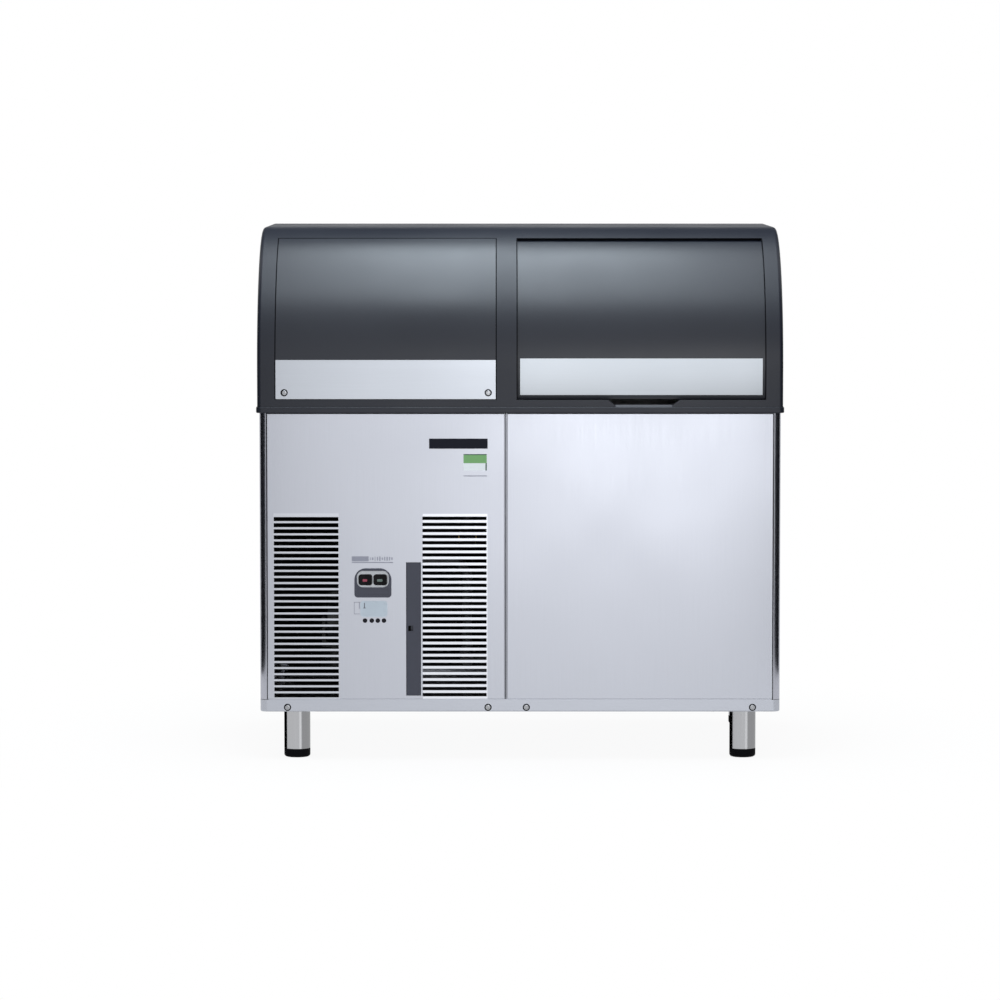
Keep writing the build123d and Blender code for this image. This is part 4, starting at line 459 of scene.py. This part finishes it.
# %% Plastics, foam, rubber and enamel
finishes["hood"] = plastic("slate moulding", (0.0095, 0.0118, 0.0195), 0.42, specular=0.34)
finishes["cover"] = plastic("slate curved cover", (0.0095, 0.012, 0.0195), 0.37, relief=0.06, specular=0.39)
finishes["bezel"] = plastic("dark bezel", (0.040, 0.043, 0.062), 0.42, specular=0.4)
finishes["filter bar"] = plastic("dark filter moulding", (0.036, 0.039, 0.056), 0.50, specular=0.4)
finishes["black"] = plastic("black moulding", (0.006, 0.006, 0.008), 0.36, specular=0.3)
finishes["foot"] = plastic("black foot", (0.003, 0.003, 0.004), 0.70, specular=0.05)
finishes["post"] = plastic("dark grey post", (0.016, 0.016, 0.022), 0.55, specular=0.2)
finishes["grey"] = plastic("grey moulding", (0.30, 0.31, 0.33), 0.45)
finishes["ring"] = plastic("light switch ring", (0.42, 0.43, 0.44), 0.30)
finishes["white"] = plastic("white food-safe plastic", (0.74, 0.76, 0.77), 0.36, spread=0.03)
finishes["foam"] = plastic("insulation foam", (0.52, 0.42, 0.24), 0.85, 260.0, 0.10, 0.5)
finishes["enamel"] = plastic("black enamel", (0.010, 0.010, 0.011), 0.22, 300.0)
finishes["rubber"] = plastic("black rubber", (0.016, 0.016, 0.016), 0.70)
finishes["coated fins"] = plastic("black coated fins", (0.010, 0.010, 0.011), 0.55, specular=0.2)
finishes["fan"] = plastic("black fan moulding", (0.012, 0.012, 0.013), 0.50, specular=0.2)
finishes["rocker"] = plastic("glossy black rocker", (0.003, 0.003, 0.004), 0.25, specular=0.10)
# Lighter than the hood: a painted highlight on the lip of the hand notch.
finishes["lip"] = plastic("slate lip with painted highlight", (0.045, 0.05, 0.062), 0.32, specular=0.6)
# Black for painted shade: the gaps round the two openings and the rings under the screw heads.
finishes["painted_shade"] = plastic("black painted shade", (0.002, 0.002, 0.003), 0.70, specular=0.04)
finishes["lens"] = plastic("smoked light pipe", (0.006, 0.006, 0.010), 0.20, relief=0.0, specular=0.15)
print(len(finishes), "finishes")

# %% [markdown]
# ## Second finishes and painted light
# The inner faces of the cabinet sheets are painted near-black. This is painted shade for the dark inside
# of the cabinet, and it is what makes the openings of the grilles look black. A sheet has one material
# for both of its faces, so the painted shade is found by direction: a face whose normal points to the
# middle of the cabinet is an inner one. Two more second finishes are laid on inside boxes. The strips
# between the louvres are painted lighter than the flat sheet, a painted highlight for the light they
# catch, and the inlet valve is brass only at its thread, with a black body inside the cabinet.

# %% Masks for inner faces and for a box
inward, entry, leave = node_group(
    "inner faces", [("Point", "NodeSocketVector", None), ("Normal", "NodeSocketVector", None)],
    [("Mask", "NodeSocketFloat")])
flat = joined(inward, VECTORS, "MULTIPLY", (entry, "Point"))
flat.inputs[1].default_value = (1.0, 1.0, 0.0)
toward = joined(inward, VECTORS, "DOT_PRODUCT", (flat, "Vector"), (entry, "Normal"))
inner = joined(inward, MATHS, "LESS_THAN", (toward, "Value"))
inner.inputs[1].default_value = -0.05
link(inward, inner, "Value", leave, "Mask")

in_box, entry, leave = node_group(
    "inside a box",
    [("Point", "NodeSocketVector", None), ("Middle", "NodeSocketVector", None),
     ("Half", "NodeSocketVector", (1.0, 1.0, 1.0))],
    [("Mask", "NodeSocketFloat")])
offset = joined(in_box, VECTORS, "SUBTRACT", (entry, "Point"), (entry, "Middle"))
distance = joined(in_box, VECTORS, "ABSOLUTE", (offset, "Vector"))
shares = joined(in_box, VECTORS, "DIVIDE", (distance, "Vector"), (entry, "Half"))
axes = in_box.nodes.new("ShaderNodeSeparateXYZ")
link(in_box, shares, "Vector", axes, "Vector")
level = joined(in_box, MATHS, "MAXIMUM", (axes, "X"), (axes, "Y"))
largest = joined(in_box, MATHS, "MAXIMUM", (level, "Value"), (axes, "Z"))
within = joined(in_box, MATHS, "LESS_THAN", (largest, "Value"))
within.inputs[1].default_value = 1.0
link(in_box, within, "Value", leave, "Mask")
print("masks ready")


# %% Laying them on
def masked(material, group):
    """Mask group node on a material, fed with the place on the piece."""
    tree = material.node_tree
    place = tree.nodes.new("ShaderNodeTexCoord")
    mask = tree.nodes.new("ShaderNodeGroup")
    mask.node_tree = group
    link(tree, place, "Object", mask, "Point")
    return place, mask


def overpaint(material, mask, colour, metallic=None, roughness=None):
    """Second finish where a mask is one, mixed in front of the shader's own sockets."""
    tree = material.node_tree
    shader = tree.nodes["Principled BSDF"]
    paint = tree.nodes.new("ShaderNodeMix")
    paint.data_type = "RGBA"
    paint.inputs[7].default_value = (*colour, 1.0)
    link(tree, mask, "Mask", paint, 0)
    tree.links.new(shader.inputs["Base Color"].links[0].from_socket, paint.inputs[6])
    link(tree, paint, 2, shader, "Base Color")
    for title, value in (("Metallic", metallic), ("Roughness", roughness)):
        if value is None:
            continue
        socket = shader.inputs[title]
        blend = tree.nodes.new("ShaderNodeMix")
        blend.inputs[3].default_value = value
        link(tree, mask, "Mask", blend, 0)
        if socket.is_linked:
            tree.links.new(socket.links[0].from_socket, blend.inputs[2])
        else:
            blend.inputs[2].default_value = socket.default_value
        link(tree, blend, 0, shader, title)


def paint_inner_shade(material):
    """Painted shade: near-black on the inner faces of a metal sheet."""
    place, mask = masked(material, inward)
    link(material.node_tree, place, "Normal", mask, "Normal")
    overpaint(material, mask, (0.006, 0.006, 0.007), 0.0, 0.9)


def paint_box(material, low, high, colour, metallic=None, roughness=None):
    """Second finish inside a box given by its corners."""
    _, mask = masked(material, in_box)
    mask.inputs["Middle"].default_value = [(a + b) / 2 for a, b in zip(low, high)]
    mask.inputs["Half"].default_value = [(b - a) / 2 for a, b in zip(low, high)]
    overpaint(material, mask, colour, metallic, roughness)


# Painted highlight: two boxes over the louvre banks, where the strips are painted lighter, the right bank
# more.
PAINTED_HIGHLIGHT_BANKS = (((-0.4495, -0.31, 0.1120), (-0.3305, -0.295, 0.4540), (0.50, 0.52, 0.57)),
         ((-0.1775, -0.31, 0.1120), (-0.0595, -0.295, 0.4530), (0.64, 0.66, 0.71)))
for low, high, colour in PAINTED_HIGHLIGHT_BANKS:
    paint_box(finishes["louvred"], low, high, colour)
paint_box(finishes["inlet"], (-0.2, 0.1, 0.1), (0.1, 0.262, 0.6), (0.008, 0.008, 0.008), 0.0, 0.6)
# Painted shade, near-black, on the inner faces of the cabinet sheets.
for name in ("sheet", "louvred", "side", "back"):
    paint_inner_shade(finishes[name])
print("second finishes laid on")

# %% [markdown]
# ## Who gets what
# Each CAD node keeps its own shape and only gets a finish, so this is one table from finish to the
# names of the pieces that wear it. The check at the end makes sure that nothing was forgotten.

# %% Dress the CAD nodes
wearers = {
    "sheet": "front_panel_right",
    "louvred": "front_panel_left",
    "side": "side_panel_left side_panel_right",
    "back": "rear_panel",
    "tray": "base_tray",
    "strip": "fixed_panel_trim curtain_rod",
    "door strip": "door_trim",
    "tube": "legs",
    "zinc": "chamber_shelf fan_shroud",
    "screw": "cabinet_screws",
    "copper": "evaporator_coil drier discharge_tube liquid_tube",
    "tinned": "evaporator",
    "brass": "hot_gas_valve",
    "inlet": "inlet_valve",
    "coated fins": "condenser",
    "fan": "fan",
    "hood": "hood",
    "cover": "fixed_panel door_panel",
    "bezel": "control_bezel",
    "filter bar": "filter_cassette",
    "black": "door_rail_left door_rail_right water_pump cable_gland filter_guide",
    "rocker": "rocker_left rocker_right",
    "foot": "foot_front_left foot_front_right foot_rear_left foot_rear_right",
    "post": "centre_post",
    "grey": "bin_drain_hose spray_bar standpipe sump_hose drain_spigot control_box",
    "ring": "switch_frame",
    "white": "door_glides bin_liner freeze_chamber evaporator_cover ice_slide curtain_flap_1 "
             "curtain_flap_2 curtain_flap_3",
    "foam": "bin_foam",
    "enamel": "compressor fan_motor",
    "rubber": "compressor_mounts suction_tube",
    "lens": "status_lenses",
}
dressed = set()
for finish, names in wearers.items():
    for name in names.split():
        put_on(nodes[name], finishes[finish])
        dressed.add(name)
print(len(dressed), "nodes dressed, left out:", sorted(set(nodes) - dressed))

# %% [markdown]
# ## Screws
# Six identical screws in front and ten at the back are the classic case for Geometry Nodes: a cloud of
# points, one per screw, and one head instanced on each. The head is a low dome with a cross recess,
# built once in bmesh, ring by ring, and it stands on a black washer that comes from the same points.
# The washer's black is painted shade: it draws the dark ring round each head.
# The tree turns every instance by its own random angle, because nobody lines up the crosses of real
# screws.

# %% Screw head
def ring_of(bm, radius, height, count=40):
    """Closed ring of vertices at a height."""
    ring = []
    for i in range(count):
        turn = 2 * math.pi * i / count
        ring.append(bm.verts.new((radius * math.cos(turn), radius * math.sin(turn), height)))
    return ring


def band_between(bm, low, high):
    """Quads between two rings with as many vertices."""
    for i in range(len(low)):
        j = (i + 1) % len(low)
        bm.faces.new((low[i], low[j], high[j], high[i]))


def loop_edges(bm, ring):
    """Edges round a ring, made where they are missing."""
    pairs = [(ring[i], ring[(i + 1) % len(ring)]) for i in range(len(ring))]
    return [bm.edges.get(pair) or bm.edges.new(pair) for pair in pairs]


def cross_head(radius, height, base):
    """Low domed screw head along +Z with a cross recess, standing at the height base."""
    bm = bmesh.new()
    profile = ((1.0, 0.0), (1.0, 0.40), (0.94, 0.72), (0.82, 0.92), (0.68, 1.0))
    rings = [ring_of(bm, radius * r, base + height * h) for r, h in profile]
    for low, high in zip(rings, rings[1:]):
        band_between(bm, low, high)
    bm.faces.new(list(reversed(rings[0])))
    arm, half = 0.56 * radius, 0.15 * radius
    cross = ((arm, -half), (arm, half), (half, half), (half, arm), (-half, arm), (-half, half),
             (-arm, half), (-arm, -half), (-half, -half), (-half, -arm), (half, -arm), (half, -half))
    mouth = [bm.verts.new((x, y, base + height)) for x, y in cross]
    bottom = [bm.verts.new((x * 0.75, y * 0.75, base + height * 0.2)) for x, y in cross]
    rim = loop_edges(bm, rings[-1]) + loop_edges(bm, mouth)
    bmesh.ops.triangle_fill(bm, use_beauty=True, edges=rim)
    band_between(bm, mouth, bottom)
    bm.faces.new(bottom)
    return finished_mesh("cross head", bm)


def washer(inner, outer, height):
    """Flat ring along +Z with a rounded outer rim."""
    bm = bmesh.new()
    profile = ((inner, 0.0), (outer, 0.0), (outer, 0.6), (0.93 * outer, 1.0), (inner, 1.0))
    rings = [ring_of(bm, r, height * h) for r, h in profile]
    for low, high in zip(rings, rings[1:] + rings[:1]):
        band_between(bm, low, high)
    return finished_mesh("washer", bm)


HEAD_RADIUS, HEAD_HEIGHT = 0.0047, 0.0014
WASHER_RADIUS, WASHER_HEIGHT = 0.0066, 0.0005
head_mesh = cross_head(HEAD_RADIUS, HEAD_HEIGHT, WASHER_HEIGHT)
washer_mesh = washer(0.8 * HEAD_RADIUS, WASHER_RADIUS, WASHER_HEIGHT)
print("screw head", len(head_mesh.polygons), "faces, washer", len(washer_mesh.polygons))

# %% Tree that sets one head on every point
def growing_tree(name, inputs, title):
    """Geometry Nodes tree with named inputs and one output, and its input and output nodes."""
    tree = bpy.data.node_groups.new(name, "GeometryNodeTree")
    tree.is_modifier = True
    for label, kind, value in inputs:
        socket = tree.interface.new_socket(name=label, in_out="INPUT", socket_type="NodeSocket" + kind)
        if value is not None:
            socket.default_value = value
    tree.interface.new_socket(name=title, in_out="OUTPUT", socket_type="NodeSocketGeometry")
    return tree, tree.nodes.new("NodeGroupInput"), tree.nodes.new("NodeGroupOutput")


def realized(tree, entry, stand, leave, title):
    """Makes instances real, gives them the Material input and puts them out."""
    real = tree.nodes.new("GeometryNodeRealizeInstances")
    paint = tree.nodes.new("GeometryNodeSetMaterial")
    link(tree, stand, "Instances", real, "Geometry")
    link(tree, real, "Geometry", paint, "Geometry")
    link(tree, entry, "Material", paint, "Material")
    link(tree, paint, "Geometry", leave, title)


def scatter_tree(name):
    """Tree that stands an object on each point, tipped by one angle and spun by a random one."""
    tree, entry, leave = growing_tree(
        name, (("Points", "Geometry", None), ("Head", "Object", None), ("Tip", "Rotation", None),
               ("Spin", "Float", 3.14), ("Seed", "Int", 7), ("Material", "Material", None)), "Heads")
    info = tree.nodes.new("GeometryNodeObjectInfo")
    spin = tree.nodes.new("FunctionNodeRandomValue")
    spin.data_type = "FLOAT"
    spun = tree.nodes.new("FunctionNodeAxisAngleToRotation")
    spun.inputs["Axis"].default_value = (0.0, 0.0, 1.0)
    turn = tree.nodes.new("FunctionNodeRotateRotation")
    turn.rotation_space = "LOCAL"
    stand = tree.nodes.new("GeometryNodeInstanceOnPoints")
    link(tree, entry, "Head", info, "Object")
    link(tree, entry, "Spin", spin, 3)
    link(tree, entry, "Seed", spin, "Seed")
    link(tree, spin, 1, spun, "Angle")
    link(tree, entry, "Tip", turn, "Rotation")
    link(tree, spun, "Rotation", turn, "Rotate By")
    link(tree, entry, "Points", stand, "Points")
    link(tree, info, "Geometry", stand, "Instance")
    link(tree, turn, "Rotation", stand, "Rotation")
    realized(tree, entry, stand, leave, "Heads")
    return tree


def set_input(modifier, name, value):
    """Sets a modifier's input by the identifier of the socket with that name."""
    for item in modifier.node_group.interface.items_tree:
        if item.item_type == "SOCKET" and item.in_out == "INPUT" and item.name == name:
            modifier[item.identifier] = value
            return
    raise KeyError(name)


def grown(name, tree, body, inputs, places=((0.0, 0.0, 0.0),)):
    """Plain mesh that a tree grows on loose points. It rides on a body, and the points go."""
    points = bpy.data.meshes.new(name)
    points.from_pydata([tuple(p) for p in places], [], [])
    carrier = mesh_object(name + " carrier", points)
    modifier = carrier.modifiers.new(name, "NODES")
    modifier.node_group = tree
    for title, value in inputs.items():
        set_input(modifier, title, value)
    graph = bpy.context.evaluated_depsgraph_get()
    mesh = bpy.data.meshes.new_from_object(carrier.evaluated_get(graph))
    mesh.name = name
    bpy.data.objects.remove(carrier)
    piece = mesh_object(name, mesh)
    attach(piece, body)
    return piece


scatter = scatter_tree("set heads on points")
print("tree with", len(scatter.nodes), "nodes")

# %% Front screws
def screws(name, places, tip, body, seed, shape=head_mesh, finish="screw"):
    """Screws or washers at the given places, whose tops look along the tipped +Z."""
    head = mesh_object("head", shape)
    piece = grown(name, scatter, body, {"Head": head, "Tip": tip, "Seed": seed,
                                        "Material": finishes[finish]}, places)
    bpy.data.objects.remove(head)
    return piece


FRONT_Y, HOOD_Y = -0.300, -0.3035
rail_places = [(x, FRONT_Y, 0.098) for x in (-0.425, -0.0585, 0.0115, 0.425)]
trim_places = [(x, HOOD_Y, 0.674) for x in (-0.429, -0.058)]
FORWARD, BACKWARD = (math.pi / 2, 0.0, 0.0), (-math.pi / 2, 0.0, 0.0)
front_screws = screws("front_screws", rail_places + trim_places, FORWARD, "cabinet", 3)
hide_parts("cabinet_screws")
# Black washers under the front heads: painted shade round each head.
screws("front_washers", rail_places + trim_places, FORWARD, "cabinet", 3, washer_mesh, "painted_shade")
print("front screws", len(front_screws.data.polygons), "faces")

# %% Back screws
BACK_Y = 0.300
back_places = [(x, BACK_Y, z) for x in (-0.45, -0.2, 0.1, 0.45) for z in (0.126, 0.622)]
back_places += [(x, BACK_Y, 0.374) for x in (-0.45, 0.45)]
back_screws = screws("back_screws", back_places, BACKWARD, "cabinet", 11)
# Black washers under the back heads: painted shade round each head.
screws("back_washers", back_places, BACKWARD, "cabinet", 11, washer_mesh, "painted_shade")
print("back screws", len(back_places))

# %% [markdown]
# ## Joints between the sheets
# The curved cover and the door each sit in an opening of the hood, and a thin black strip in the gap
# is painted shade: it draws the dark shadow line round them. It follows the hood's front: straight up,
# then round the arc.
# Where two sheets meet, their folded edges nearly close the gap, so the seams stay fine lines.

# %% Painted shade round the two openings
ARC_Y, ARC_Z, ARC = -0.0495, 0.716, 0.254
SILL_Z, TOP_ANGLE = 0.661, math.radians(67.7)


def on_hood(run, radius):
    """Y and Z on the hood's front: run is metres below the arc when negative, else an angle."""
    if run < 0.0:
        return ARC_Y - radius, ARC_Z + run
    return ARC_Y - radius * math.cos(run), ARC_Z + radius * math.sin(run)


def swept_strip(bm, x0, x1, runs, inner, outer):
    """Closed strip between two X places and two radii that follows the hood's front."""
    rings = []
    section = ((x0, outer), (x1, outer), (x1, inner), (x0, inner))
    for run in runs:
        rings.append([bm.verts.new((x, *on_hood(run, radius))) for x, radius in section])
    for low, high in zip(rings, rings[1:]):
        band_between(bm, low, high)
    bm.faces.new(rings[0])
    bm.faces.new(list(reversed(rings[-1])))


def painted_shade(name, left, right):
    """Black strips of painted shade on both sides and the top of an opening."""
    bm = bmesh.new()
    runs = [SILL_Z - ARC_Z] + [TOP_ANGLE * i / 40 for i in range(41)]
    inner, outer, over, into = ARC - 0.0024, ARC + 0.0001, 0.0004, 0.0013
    swept_strip(bm, left - over, left + into, runs, inner, outer)
    swept_strip(bm, right - into, right + over, runs, inner, outer)
    swept_strip(bm, left, right, [TOP_ANGLE - into / ARC, TOP_ANGLE + over / ARC], inner, outer)
    piece = from_bmesh(name, bm)
    put_on(piece, finishes["painted_shade"])
    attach(piece, "cabinet")


painted_shade("panel_edging", -0.446, -0.043)
painted_shade("door_edging", -0.006, 0.447)
print("edging placed")

# %% Lip of the hand notch
# Painted highlight: a lighter strip on the notch's lip, for the light that the lip catches.
bm = bmesh.new()
LIP_SECTION = ((-0.3037, 0.6473), (-0.3013, 0.6521), (-0.3011, 0.6520), (-0.3035, 0.6472))
notch_ends = [[bm.verts.new((x, y, z)) for y, z in LIP_SECTION] for x in (0.1740, 0.2760)]
band_between(bm, *notch_ends)
for ring in notch_ends:
    bm.faces.new(ring)
notch_lip = from_bmesh("notch_lip", bm)
put_on(notch_lip, finishes["lip"])
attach(notch_lip, "cabinet")
print("notch lip placed")

# %% [markdown]
# ## Printed and stuck-on fields
# The front carries a dark plate, a green sticker and a printed legend. Here they are bare fields of
# colour: plates with rounded corners that lie on the sheet, a tenth of a millimetre thick where they
# stand for print or film. Marks inside the legend are plain bars, set along a line by Geometry Nodes.
# The same flat plates make the folded edges of the sheets.

# %% Flat plates on the front sheet
CORNER_STEPS = 6


def flat_plate(name, x0, x1, z0, z1, thickness, corner, material, y=FRONT_Y, lift=0.0):
    """Thin plate with rounded corners that lies on an upright sheet."""
    bm = bmesh.new()
    outline = []
    for cx, cz, start in ((x1 - corner, z1 - corner, 0), (x0 + corner, z1 - corner, 90),
                          (x0 + corner, z0 + corner, 180), (x1 - corner, z0 + corner, 270)):
        for i in range(CORNER_STEPS + 1):
            a = math.radians(start + 90.0 * i / CORNER_STEPS)
            outline.append((cx + corner * math.cos(a), cz + corner * math.sin(a)))
    front = [bm.verts.new((x, y - lift - thickness, z)) for x, z in outline]
    back = [bm.verts.new((x, y - lift, z)) for x, z in outline]
    bm.faces.new(front)
    bm.faces.new(list(reversed(back)))
    band_between(bm, front, back)
    piece = from_bmesh(name, bm)
    put_on(piece, material)
    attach(piece, "cabinet")


def print_ink(name, colour, roughness=0.45, specular=0.3):
    """Ink or film with a faint fibre in it."""
    return plastic(name, colour, roughness, 2200.0, 0.04, 0.03, specular)


finishes["plate"] = print_ink("black name field", (0.004, 0.005, 0.012), 0.40, 0.10)
finishes["green"] = print_ink("green sticker", (0.165, 0.36, 0.135))
finishes["dark green"] = print_ink("dark green edge", (0.035, 0.085, 0.05))
finishes["pale"] = print_ink("pale sticker", (0.74, 0.78, 0.78))
finishes["legend"] = print_ink("grey legend ink", (0.27, 0.275, 0.32))
finishes["dark ink"] = print_ink("dark ink", (0.10, 0.10, 0.12))
finishes["cool film"] = print_ink("cool clear film", (0.455, 0.51, 0.555))
print("inks ready")

# %% Folded edges at the seam and along the rail
FOLD = 0.0012
for name, x0, x1 in (("seam_fold_left", -0.0280, -0.0271), ("seam_fold_right", -0.0249, -0.0240)):
    flat_plate(name, x0, x1, 0.1130, 0.6360, FOLD, 0.0003, finishes["sheet"], y=FRONT_Y + FOLD)
flat_plate("rail_fold", -0.4600, 0.4600, 0.1116, 0.1132, FOLD / 2, 0.0003, finishes["sheet"],
           y=FRONT_Y + 0.0010)
print("folds placed")

# %% Name field and sticker, left bare
FILM = 0.00012
STICKER = (-0.1031, -0.0607)
flat_plate("name_field", -0.1656, -0.0591, 0.5719, 0.5903, 0.0005, 0.0006, finishes["plate"])
flat_plate("sticker_base", *STICKER, 0.5320, 0.5620, FILM, 0.0006, finishes["pale"])
flat_plate("sticker_green", *STICKER, 0.5455, 0.5620, FILM, 0.0006, finishes["green"], lift=FILM)
flat_plate("sticker_side", -0.0630, -0.0607, 0.5320, 0.5456, FILM, 0.0003, finishes["dark green"],
           lift=FILM)
flat_plate("sticker_top", *STICKER, 0.5603, 0.5620, FILM, 0.0003, finishes["dark green"],
           lift=2 * FILM)
flat_plate("sticker_line", *STICKER, 0.5213, 0.5230, FILM, 0.0003, finishes["legend"])
print("name field and sticker placed")

# %% Bars of the legend
def bar_tree(name):
    """Tree that sets a row of upright bars along X, each a little different in size."""
    tree, entry, leave = growing_tree(
        name, (("Geometry", "Geometry", None), ("Count", "Int", 8), ("Pitch", "Float", 0.004),
               ("Bar", "Vector", (0.001, 0.0001, 0.003)), ("Start", "Vector", (0.0, 0.0, 0.0)),
               ("Seed", "Int", 5), ("Material", "Material", None)), "Bars")
    row = tree.nodes.new("GeometryNodeMeshLine")
    step = tree.nodes.new("ShaderNodeCombineXYZ")
    bar = tree.nodes.new("GeometryNodeMeshCube")
    size = tree.nodes.new("FunctionNodeRandomValue")
    size.data_type = "FLOAT_VECTOR"
    size.inputs[0].default_value = (0.6, 1.0, 0.55)
    size.inputs[1].default_value = (1.4, 1.0, 1.0)
    stand = tree.nodes.new("GeometryNodeInstanceOnPoints")
    link(tree, entry, "Count", row, "Count")
    link(tree, entry, "Start", row, "Start Location")
    link(tree, entry, "Pitch", step, "X")
    link(tree, step, "Vector", row, "Offset")
    link(tree, entry, "Bar", bar, "Size")
    link(tree, entry, "Seed", size, "Seed")
    link(tree, row, "Mesh", stand, "Points")
    link(tree, bar, "Mesh", stand, "Instance")
    link(tree, size, 0, stand, "Scale")
    realized(tree, entry, stand, leave, "Bars")
    return tree


grown("legend_bars", bar_tree("row of bars"), "cabinet",
      {"Start": (-0.2732, FRONT_Y - FILM / 2, 0.3708), "Count": 10, "Pitch": 0.0044,
       "Bar": (0.0021, FILM, 0.0085), "Seed": 5, "Material": finishes["legend"]})
print("legend bars placed")

# %% Legend field, window outline and small marks
flat_plate("legend_field", -0.3071, -0.2760, 0.3660, 0.3752, FILM, 0.0005, finishes["legend"])
flat_plate("legend_line", -0.3071, -0.2317, 0.3630, 0.3648, FILM, 0.0003, finishes["legend"])
for name, x0, x1, z0, z1 in (("window_left", -0.3030, -0.3020, 0.2690, 0.2915),
                             ("window_right", -0.2940, -0.2924, 0.2790, 0.2915),
                             ("window_top", -0.3030, -0.2924, 0.2905, 0.2915),
                             ("window_bottom", -0.3030, -0.2924, 0.2690, 0.2702)):
    flat_plate(name, x0, x1, z0, z1, FILM, 0.0003, finishes["legend"])
flat_plate("mark_stem", -0.2848, -0.2832, 0.2810, 0.2900, FILM, 0.0003, finishes["dark ink"])
flat_plate("mark_foot", -0.2862, -0.2818, 0.2798, 0.2812, FILM, 0.0003, finishes["dark ink"])
flat_plate("cool_field", -0.2915, -0.2420, 0.2640, 0.2935, FILM / 2, 0.0060, finishes["cool film"])
print("legend placed")

# %% [markdown]
# ## Lights in the rockers
# Each rocker has a small window, red on the left and greenish on the right. A window has to sit on a
# face that is hollowed and tilted, so its corners are found by shooting rays at the rocker's own mesh
# and taking the points and the face direction that they hit.

# %% Rocker windows
finishes["red window"] = plastic("red window", (0.30, 0.06, 0.09), 0.22, relief=0.0, specular=0.2)
finishes["green window"] = plastic("green window", (0.13, 0.17, 0.15), 0.22, relief=0.0, specular=0.2)
ACROSS, UP = 9, 5
ROUNDING, LIFT, WINDOW_WALL = 0.18, 0.00015, 0.0004


def skin_point(tree, x, z, lift):
    """Point just in front of a mesh, found along +Y."""
    hit, normal, _, _ = tree.ray_cast(Vector((x, -0.5, z)), Vector((0.0, 1.0, 0.0)))
    return hit + normal * lift


def rocker_window(name, node, body, x, z, width, height, material):
    """Small rounded field that follows the rocker's face."""
    tree = BVHTree.FromObject(nodes[node], bpy.context.evaluated_depsgraph_get())
    bm = bmesh.new()
    grid = []
    for j in range(UP):
        row = []
        for i in range(ACROSS):
            u, v = i / (ACROSS - 1) - 0.5, j / (UP - 1) - 0.5
            pull = 1.0 - ROUNDING * (2 * v) ** 4
            row.append(bm.verts.new(skin_point(tree, x + u * width * pull, z + v * height, LIFT)))
        grid.append(row)
    for low, high in zip(grid, grid[1:]):
        for i in range(ACROSS - 1):
            bm.faces.new((low[i], low[i + 1], high[i + 1], high[i]))
    mesh = bpy.data.meshes.new(name)
    bm.to_mesh(mesh)
    bm.free()
    piece = mesh_object(name, mesh)
    solid = piece.modifiers.new("wall", "SOLIDIFY")
    solid.thickness = WINDOW_WALL
    solid.offset = -1.0
    put_on(piece, material)
    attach(piece, body)


rocker_window("red_window", "rocker_left", "left_rocker", -0.2830, 0.3312, 0.0085, 0.0045,
              finishes["red window"])
rocker_window("green_window", "rocker_right", "right_rocker", -0.2558, 0.3312, 0.0100, 0.0045,
              finishes["green window"])
print("rocker windows placed")

# %% [markdown]
# ## The filter's weave
# The pull-out air filter is a moulded frame with a mesh. Seen close, the mesh is two sets of thin
# wires, and Geometry Nodes can lay both sets from one line of points each. The wires lie on both
# faces of the CAD sheet, which stays as the backing.

# %% Weave
def wire_tree(name):
    """Tree that repeats a straight wire along a line."""
    tree, entry, leave = growing_tree(
        name, (("Geometry", "Geometry", None), ("Count", "Int", 60), ("Start", "Vector", (0.0, 0.0, 0.0)),
               ("Step", "Vector", (0.0, 0.0, 0.004)), ("Run", "Vector", (0.0, 0.1, 0.0)),
               ("Radius", "Float", 0.0004), ("Material", "Material", None)), "Wires")
    row = tree.nodes.new("GeometryNodeMeshLine")
    run = tree.nodes.new("GeometryNodeCurvePrimitiveLine")
    ring = tree.nodes.new("GeometryNodeCurvePrimitiveCircle")
    ring.inputs["Resolution"].default_value = 6
    wire = tree.nodes.new("GeometryNodeCurveToMesh")
    wire.inputs["Fill Caps"].default_value = True
    stand = tree.nodes.new("GeometryNodeInstanceOnPoints")
    link(tree, entry, "Count", row, "Count")
    link(tree, entry, "Start", row, "Start Location")
    link(tree, entry, "Step", row, "Offset")
    link(tree, entry, "Run", run, "End")
    link(tree, entry, "Radius", ring, "Radius")
    link(tree, run, "Curve", wire, "Curve")
    link(tree, ring, "Curve", wire, "Profile Curve")
    link(tree, row, "Mesh", stand, "Points")
    link(tree, wire, "Mesh", stand, "Instance")
    realized(tree, entry, stand, leave, "Wires")
    return tree


wires = wire_tree("row of wires")
finishes["wire"] = metal("filter wire", (0.36, 0.37, 0.38), 0.38, (300.0, 300.0, 300.0))
WIRE_RADIUS, PITCH = 0.00035, 0.0032
MARGIN_Y, MARGIN_Z = 0.010, 0.009


def wire_row(name, count, start, step, run):
    """Row of wires as one plain mesh that rides on the filter."""
    grown(name, wires, "filter", {"Count": count, "Start": start, "Step": step, "Run": run,
                                  "Radius": WIRE_RADIUS, "Material": finishes["wire"]})


low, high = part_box("filter_cassette")
middle = (low.x + high.x) / 2
length, height = high.y - low.y - 0.016, high.z - low.z - 2 * MARGIN_Z
lengthwise, upright = int(height / PITCH), int(length / PITCH)
for side, tag in ((-1, "left"), (1, "right")):
    start = (middle + side * 0.0006, low.y + MARGIN_Y, low.z + MARGIN_Z)
    wire_row(f"filter_lengthwise_{tag}", lengthwise, start, (0.0, 0.0, PITCH), (0.0, length, 0.0))
    wire_row(f"filter_upright_{tag}", upright, start, (0.0, PITCH, 0.0), (0.0, 0.0, height))
print("weave of", lengthwise, "by", upright, "wires")
